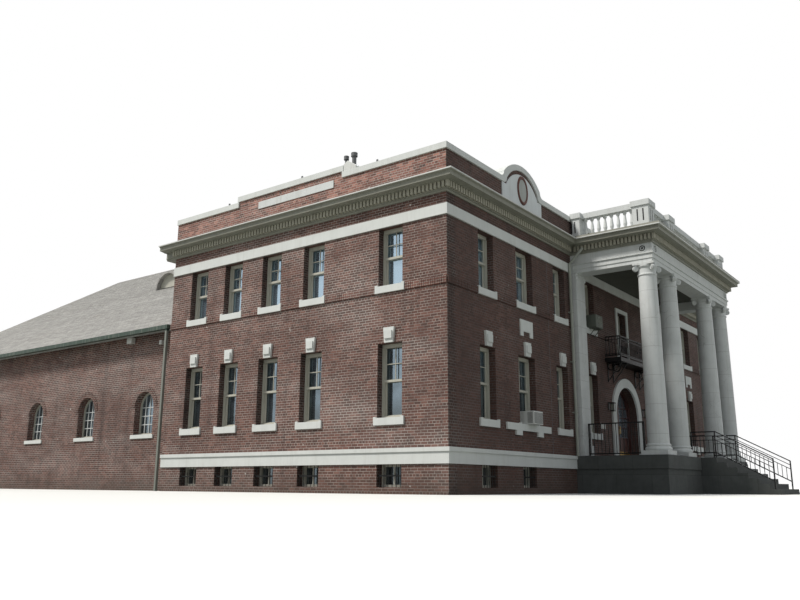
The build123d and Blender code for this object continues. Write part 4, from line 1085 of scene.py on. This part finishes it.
class ARMORY_OT_portico_ornament(bpy.types.Operator):
    """Roundels on the frieze with dark discs of painted shade, black slots of painted shade on the pedestals,
    and the ceiling's panels.
    """

    bl_idname = "armory.portico_ornament"
    bl_label = "Portico ornament"

    def execute(self, context):
        bm, dim, slots, ceiling = bmesh.new(), bmesh.new(), bmesh.new(), bmesh.new()
        corner_x, roundel_z = column_places[-1], 7.93
        for flank in PORTICO_SIDES:
            for face, along in ((flank, column_y), (PORTICO_FRONT, flank.outward * corner_x)):
                turn = face.turn() @ Matrix.Translation((along, roundel_z, 0.0))
                ring(bm, turn, 0.125, 0.022)
                ring(bm, turn, 0.055, 0.014, segments=24)
                # Painted shade: a dark disc inside each roundel stands for the shade in its hollow
                loft(dim, turn, circle(0.118), 0.004)
        piece(bm, "frieze_roundels", "white_paint", smooth=True)
        piece(dim, "frieze_roundel_painted_shade", "porch_stone")
        # Painted shade: thin black pieces on the pedestals stand for their shaded recessed slots
        upright, depth = (rail_top - 0.72, rail_top - 0.30), (0.003, -0.02)
        pedestal_half, slot_half = 0.28, 0.022
        for x in column_places:
            faces = (
                (Face("pedestal_front", 0, column_y - pedestal_half, -1), x),
                (Face("pedestal_left", 1, x - pedestal_half, -1), column_y),
                (Face("pedestal_right", 1, x + pedestal_half, 1), column_y),
            )
            for face, middle in faces:
                for along in around(middle, 0.10):
                    face.block(slots, around(along, slot_half), depth, upright)
        for side in (-1, 1):
            face = Face("wall_pedestal", 1, side * (corner_x + pedestal_half), side)
            for along in (front_y - 0.22, front_y - 0.10):
                face.block(slots, around(along, 0.018), depth, upright)
        piece(slots, "pedestal_slots_painted_shade", "black_iron")
        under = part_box("portico_roof")[0][2]
        beam, count, gap = 0.70, 16, 0.006
        inner = portico_half - beam
        for x in middles(-inner, inner, count):
            left, right = around(x, inner / count - gap)
            block(ceiling, (left, portico_front + beam, under - 0.018), (right, front_y, under + 0.001))
        piece(ceiling, "porch_ceiling_boards", "ceiling")
        return {"FINISHED"}


class ARMORY_OT_roof_courses(bpy.types.Operator):
    """Shingle courses on the drill hall's slopes, cut out round the dormers."""

    bl_idname = "armory.roof_courses"
    bl_label = "Roof courses"

    def execute(self, context):
        course = context.scene.armory_sizes.shingle_course
        count = int((math.hypot(ridge_z - eave_top, eave_x) - 0.05) / course)
        ends = (rear_y + 0.002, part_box("hall_roof_left")[1][1])
        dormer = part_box("dormers")
        middle = (dormer[0][1] + dormer[1][1]) / 2
        unevenness = 0.002
        rng = random.Random(3)
        for side, name in ((-1, "left"), (1, "right")):
            bm = bmesh.new()
            along = Vector((-side * math.cos(roof_slope), 0, math.sin(roof_slope)))
            out = Vector((side * math.sin(roof_slope), 0, math.cos(roof_slope)))
            foot = Vector((side * -eave_x, 0, eave_top))
            for number in range(count):
                low, high = number * course, (number + 1) * course
                butt = 0.011 + rng.uniform(-unevenness, unevenness)
                section = ((low, -0.004), (low, butt), (high, 0.002), (high, -0.004))
                corners = [foot + along * place + out * lift for place, lift in section]
                reach = self.under_dormer(dormer[1][0] - abs((foot + along * low).x))
                stretches = [ends]
                if reach:
                    stretches = [(ends[0], middle - reach), (middle + reach, ends[1])]
                for start, end in stretches:
                    turn = Face("course_end", 0, start, 1).turn()
                    loft(bm, turn, [(corner.x, corner.z) for corner in corners], end - start)
            piece(bm, f"shingle_courses_{name}", "shingle")
        return {"FINISHED"}

    @staticmethod
    def under_dormer(depth):
        """Half width of the dormer above the slope, at a distance behind its face."""
        radius = 0.90
        rise = depth * (ridge_z - eave_top) / -eave_x
        return math.sqrt(radius**2 - rise**2) if 0 <= rise < radius else 0


class ARMORY_OT_roof_fittings(bpy.types.Operator):
    """Vents behind the parapet, lanterns, pipes, switches, lamps, coping tabs and movement joints."""

    bl_idname = "armory.roof_fittings"
    bl_label = "Roof and wall fittings"

    def execute(self, context):
        self.vents()
        self.lanterns()
        self.portico_pipes()
        self.small_fittings()
        self.movement_joints()
        self.lantern_glass()
        return {"FINISHED"}

    @staticmethod
    def vents():
        """Two vent pipes with collars, and a white hood with a sloping top."""
        pipes, hood = bmesh.new(), bmesh.new()
        x, y = -half_house + 0.40, front_y + 3.67
        deck, collar, collar_proud = wall_top + 0.20, 0.12, 0.035
        for offset, top, radius in ((0.0, 10.30, 0.070), (0.32, 10.27, 0.048)):
            head = (x, y + offset, top)
            tube(pipes, ((x, y + offset, deck), head), radius, 12)
            tube(pipes, ((x, y + offset, top - collar), head), radius + collar_proud, 12)
        front, rear, foot = front_y + 3.21, front_y + 3.73, parapet_top + 0.01
        slope_end, back, depth = (rear - 0.16, foot + 0.50), -0.30, 0.345
        outline = ((front, foot), (rear, foot), (rear, foot + 0.40), slope_end, (front, foot + 0.26))
        loft(hood, LEFT.turn() @ Matrix.Translation((0, 0, back)), outline, depth)
        piece(pipes, "vent_pipes", "grille")
        piece(hood, "vent_hood", "white_metal", bevel=0.02)

    @staticmethod
    def lanterns():
        """A lantern on a bracket at each side of the front door."""
        lamps = bmesh.new()
        out, z = LANTERN_OUT, LANTERN_Z
        for x in (LANTERN_X, -LANTERN_X):
            wall_plate = (around(x, 0.05), (0.0, 0.03), around(z, 0.14))
            arm = (around(x, 0.02), (0.03, out), (z + 0.10, z + 0.13))
            cap = (around(x, 0.09), around(out, 0.09), (z + 0.08, z + 0.12))
            foot = (around(x, 0.075), around(out, 0.075), (z - 0.20, z - 0.17))
            posts = [
                (around(post, 0.006), around(stand, 0.006), (z - 0.18, z + 0.09))
                for post in around(x, 0.07)
                for stand in around(out, 0.07)
            ]
            for part in (wall_plate, arm, cap, foot, *posts):
                FRONT.block(lamps, *part)
        piece(lamps, "wall_lanterns", "black_iron")

    @staticmethod
    def lantern_glass():
        """The lanterns' glass."""
        glass = bmesh.new()
        upright = (LANTERN_Z - 0.16, LANTERN_Z + 0.07)
        for x in (LANTERN_X, -LANTERN_X):
            FRONT.block(glass, around(x, 0.05), around(LANTERN_OUT, 0.05), upright)
        piece(glass, "lantern_glass", "lamp_glass", bevel=0.01)

    @staticmethod
    def portico_pipes():
        """Pipes from the portico's roof down the wall beside it, with their straps."""
        pipe = bmesh.new()
        beside, gap, radius = portico_half + 0.29, 0.10, 0.050
        strap_levels, strap_height = (2.6, 4.3, 6.0), 0.035
        for side in (-1, 1):
            x = side * beside
            outlet = (side * (beside + 0.02), front_y - 0.62, wall_top + 0.12)
            bend = (x, front_y - gap, wall_top - 0.38)
            tube(pipe, (outlet, bend, (x, front_y - gap, porch_top)), radius, 10)
            for z in strap_levels:
                FRONT.block(pipe, around(x, 0.07), (0.0, 0.145), (z, z + strap_height))
        piece(pipe, "portico_pipes", "downspout_paint")

    @staticmethod
    def small_fittings():
        """Switch plates by the door, lamps under the hall's eaves, and tabs on the side copings."""
        plates, eaves, tabs = bmesh.new(), bmesh.new(), bmesh.new()
        switch_places, switch_levels = (-2.48, -2.32, -2.16), (2.22, 2.42)
        for x in switch_places:
            FRONT.block(plates, around(x, 0.05), (0.016, 0.0), switch_levels)
        piece(plates, "switch_plates", "white_metal", bevel=0.006)
        lamp, sensor = rear_y + 2.81, rear_y + 0.99
        tab_places, tab_length, tab_height = ((2.44, 9.54), (5.51, 9.74), (8.94, 9.54)), 0.05, 0.12
        for face, hall in zip(SIDES, HALL_SIDES):
            hall.block(eaves, around(lamp, 0.15), (0.02, 0.20), (eave_top - 0.37, eave_top - 0.15))
            hall.block(eaves, around(lamp, 0.03), (0.0, 0.02), (eave_top - 0.33, eave_top - 0.19))
            hall.block(eaves, around(sensor, 0.07), (0.0, 0.14), (eave_top - 0.57, eave_top - 0.41))
            for along, up in tab_places:
                start = front_y + along
                face.block(tabs, (start, start + tab_length), (-0.06, -0.02), (up, up + tab_height))
        piece(eaves, "eaves_lamps", "white_metal", bevel=0.01)
        piece(tabs, "coping_tabs", "grille")

    @staticmethod
    def movement_joints():
        """Upright joints in the front's brickwork, broken by the soldier band."""
        joints = bmesh.new()
        joint_x, joint_half = 6.33, 0.009
        for x in (-joint_x, joint_x):
            for upright in ((porch_top, UPPER_SILL - SILL_HEIGHT), (UPPER_SILL, UPPER_HEAD)):
                FRONT.block(joints, around(x, joint_half), around(0.0, 0.002), upright)
        piece(joints, "movement_joints", "grille")


class ARMORY_OT_coolers(bpy.types.Operator):
    """Coolers in a window of the left wing and in one over the porch."""

    bl_idname = "armory.coolers"
    bl_label = "Window coolers"

    def execute(self, context):
        self.wing_cooler(0.12 - WIDE_WINDOW, LOWER_SILL)
        self.porch_cooler(-PORCH_WINDOW, UPPER_SILL)
        return {"FINISHED"}

    @staticmethod
    def wing_cooler(centre, low):
        """A white cooler with slats on its front and sides."""
        case, slats = bmesh.new(), bmesh.new()
        half, out, height = 0.30, 0.27, 0.40
        slat_count, slat_pitch, slat_height = 11, 0.03, 0.014
        FRONT.block(case, around(centre, half), (out, -RECESS), (low, low + height))
        for number in range(slat_count):
            foot = low + 0.04 + slat_pitch * number
            upright = (foot, foot + slat_height)
            FRONT.block(slats, around(centre, half - 0.03), (out + 0.007, out - 0.005), upright)
            for edge in (centre - half - 0.004, centre + half - 0.006):
                FRONT.block(slats, (edge, edge + 0.010), (0.23, 0.06), upright)
        piece(case, "cooler_case", "white_metal", bevel=0.012)
        piece(slats, "cooler_slats", "grille")

    @staticmethod
    def porch_cooler(centre, low):
        """A cooler on two braces, with a round grille over its fan."""
        case, fan = bmesh.new(), bmesh.new()
        half, out, height, lean = 0.30, 0.36, 0.46, 0.75
        FRONT.block(case, around(centre, half), (out, -RECESS), (low, low + height))
        for x in around(centre, 0.2):
            FRONT.block(case, around(x, 0.02), (0.30, 0.0), (low - 0.03, low))
            brace = FRONT.turn() @ Matrix.Translation((x, low - 0.16, 0.15))
            brace @= Matrix.Rotation(math.pi / 2, 4, "Y") @ Matrix.Rotation(lean, 4, "Z")
            bar(case, brace, (0.03, 0.36, 0.03))
        hub = FRONT.turn() @ Matrix.Translation((centre + 0.04, low + 0.23, out + 0.004))
        for radius in (0.06, 0.10, 0.14, 0.18):
            ring(fan, hub, radius, 0.006, sides=6)
        for number in range(4):
            bar(fan, hub @ Matrix.Rotation(math.pi * number / 4, 4, "Z"), (0.37, 0.010, 0.010))
        piece(case, "porch_cooler_case", "cooler_paint", bevel=0.014)
        piece(fan, "porch_cooler_fan", "downspout_paint")


class ARMORY_OT_hall_windows(bpy.types.Operator):
    """Bars, sills and brick arches of the drill hall's windows."""

    bl_idname = "armory.hall_windows"
    bl_label = "Drill hall windows"

    def execute(self, context):
        bars, stones, arches, panes = bmesh.new(), bmesh.new(), bmesh.new(), bmesh.new()
        bays, arch_bricks = 6, 23
        places = [(face, y) for face in HALL_SIDES for y in middles(rear_y, hall_end_y, bays)]
        places += [(HALL_END, x) for x in middles(-half_hall, half_hall, bays)]
        low, spring, half, bar_half = 1.96, 2.96, 0.55, 0.014
        bar_places, bar_levels = (-0.26, 0.0, 0.26), (low + 0.38, low + 0.69, spring)
        arch_brick, arch_radius = (0.066, 0.205, 0.034), half + 0.11
        inside, foot, pane = half - FRAME_WIDTH, low + FRAME_WIDTH, -RECESS - 0.05
        for face, centre in places:
            face.block(stones, around(centre, 0.66), (0.05, -0.10), (low - 0.14, low))
            matrix = face.turn() @ Matrix.Translation((centre, spring, 0.0))
            for angle in middles(*around(0.0, math.pi / 2), arch_bricks):
                turn = matrix @ Matrix.Rotation(angle, 4, "Z")
                bar(arches, turn @ Matrix.Translation((0, arch_radius, 0.004)), arch_brick)
            for x in bar_places:
                top = spring + math.sqrt(half**2 - x**2) - FRAME_WIDTH
                face.block(bars, around(centre + x, bar_half), (pane + 0.030, pane), (foot, top))
            for z in bar_levels:
                face.block(bars, around(centre, inside), (pane + 0.026, pane), around(z, bar_half))
            corners = ((-inside, foot - spring), (inside, foot - spring))
            outline = [*arc(inside, 0.0, math.pi, 24), *corners]
            loft(panes, matrix @ Matrix.Translation((0, 0, pane)), outline, 0.004)
        piece(panes, "hall_panes", "window_glass")
        piece(bars, "hall_window_bars", "white_paint")
        piece(stones, "hall_window_sills", "pale_stone", bevel=0.006)
        piece(arches, "hall_window_arches", "hall_brick")
        return {"FINISHED"}


class ARMORY_OT_stage(bpy.types.Operator):
    """Pale floor, soft light and the camera."""

    bl_idname = "armory.stage"
    bl_label = "Stage"

    def execute(self, context):
        self.floor(context)
        self.world(context)
        self.lamps(context)
        self.camera(context)
        context.scene.view_settings.view_transform = "Standard"
        return {"FINISHED"}

    @staticmethod
    def floor(context):
        """A wide floor that shows paler to the camera than it lights the walls."""
        bm = bmesh.new()
        bmesh.ops.create_grid(bm, x_segments=1, y_segments=1, size=400)
        mesh = bpy.data.meshes.new("floor_sheet")
        bm.to_mesh(mesh)
        bm.free()
        floor = bpy.data.objects.new("floor_sheet", mesh)
        context.scene.collection.objects.link(floor)
        n = Nodes("stage_floor")
        seen = n.add("ShaderNodeLightPath").outputs["Is Camera Ray"]
        mesh.materials.append(n.finish(n.mix(seen, (0.26, 0.27, 0.24), (0.80, 0.80, 0.78)), 0.9))

    @staticmethod
    def world(context):
        """White where the camera, gloss or glass sees it, and a soft bluish light elsewhere."""
        world = bpy.data.worlds.new("studio")
        context.scene.world = world
        world.use_nodes = True
        nodes, links = world.node_tree.nodes, world.node_tree.links
        nodes.clear()
        path = nodes.new("ShaderNodeLightPath")
        seen, reflected = nodes.new("ShaderNodeMath"), nodes.new("ShaderNodeMath")
        seen.operation = reflected.operation = "MAXIMUM"
        links.new(path.outputs["Is Glossy Ray"], reflected.inputs[0])
        links.new(path.outputs["Is Transmission Ray"], reflected.inputs[1])
        links.new(path.outputs["Is Camera Ray"], seen.inputs[0])
        links.new(reflected.outputs[0], seen.inputs[1])
        both = nodes.new("ShaderNodeMixShader")
        links.new(seen.outputs[0], both.inputs[0])
        for socket, tone, strength in ((1, (0.90, 0.95, 1.0, 1), 0.46), (2, (1, 1, 1, 1), 1.0)):
            background = nodes.new("ShaderNodeBackground")
            background.inputs["Color"].default_value = tone
            background.inputs["Strength"].default_value = strength
            links.new(background.outputs[0], both.inputs[socket])
        out = nodes.new("ShaderNodeOutputWorld")
        links.new(both.outputs[0], out.inputs["Surface"])

    @staticmethod
    def lamps(context):
        """A warm key light from the left rear, and a wide cool fill from the right."""
        key = ("key", 3.4, 12, (1.0, 0.96, 0.90), (-0.50, 0.38, 0.78))
        fill = ("fill", 1.3, 35, (0.92, 0.96, 1.0), (0.85, 0.30, 0.43))
        for name, energy, size, tone, toward in (key, fill):
            lamp = bpy.data.lights.new(name, "SUN")
            lamp.energy = energy
            lamp.angle = math.radians(size)
            lamp.color = tone
            obj = bpy.data.objects.new(name, lamp)
            obj.rotation_euler = Vector(toward).to_track_quat("Z", "Y").to_euler()
            context.scene.collection.objects.link(obj)

    @staticmethod
    def camera(context):
        """The camera, near the ground, off the head house's front left corner."""
        camera = bpy.data.cameras.new("camera")
        camera.sensor_width = 36.0
        camera.lens = 35.72
        camera.clip_end = 1000.0
        obj = bpy.data.objects.new("camera", camera)
        corner = Vector((-half_house, front_y, 0.0))
        from_corner = Vector((-17.1723, -11.3061, 0.2363))
        pitch, roll, yaw = 0.2291504, 0.0052893, 0.9275845
        ahead = Vector((math.sin(yaw) * math.cos(pitch), math.cos(yaw) * math.cos(pitch), math.sin(pitch)))
        level = Vector((math.cos(yaw), -math.sin(yaw), 0))
        right = level * math.cos(roll) + level.cross(ahead) * math.sin(roll)
        up = right.cross(ahead)
        matrix = Matrix((right, up, -ahead)).transposed().to_4x4()
        matrix.translation = corner + from_corner
        obj.matrix_world = matrix
        context.scene.collection.objects.link(obj)
        context.scene.camera = obj


OPERATORS = (
    ARMORY_OT_stage,
    ARMORY_OT_finishes,
    ARMORY_OT_sashes,
    ARMORY_OT_basement_guards,
    ARMORY_OT_soldier_band,
    ARMORY_OT_dentils,
    ARMORY_OT_portico_cornice,
    ARMORY_OT_stair_bars,
    ARMORY_OT_gables,
    ARMORY_OT_door_leaves,
    ARMORY_OT_balcony_rails,
    ARMORY_OT_portico_ornament,
    ARMORY_OT_roof_courses,
    ARMORY_OT_roof_fittings,
    ARMORY_OT_coolers,
    ARMORY_OT_hall_windows,
)


class ARMORY_PT_pieces(bpy.types.Panel):
    """Lists the sizes, the colours and the pieces."""

    bl_label = "Armory building"
    bl_space_type = "VIEW_3D"
    bl_region_type = "UI"
    bl_category = "Armory"

    def draw(self, context):
        for group in (context.scene.armory_sizes, context.scene.armory_colours):
            box = self.layout.box()
            for key in group.bl_rna.properties.keys():
                if key not in ("rna_type", "name"):
                    box.prop(group, key)
        for operator in OPERATORS:
            self.layout.operator(operator.bl_idname)


CLASSES = (ArmorySizes, ArmoryColours, *OPERATORS, ARMORY_PT_pieces)


def register():
    """Registers the classes and the two groups of values."""
    for item in CLASSES:
        bpy.utils.register_class(item)
    bpy.types.Scene.armory_sizes = PointerProperty(type=ArmorySizes)
    bpy.types.Scene.armory_colours = PointerProperty(type=ArmoryColours)


def unregister():
    """Takes the classes and values away again."""
    del bpy.types.Scene.armory_colours
    del bpy.types.Scene.armory_sizes
    for item in reversed(CLASSES):
        bpy.utils.unregister_class(item)


def main():
    """Builds every piece in order."""
    register()
    for operator in OPERATORS:
        family, name = operator.bl_idname.split(".")
        getattr(getattr(bpy.ops, family), name)()


if __name__ == "__main__":
    main()
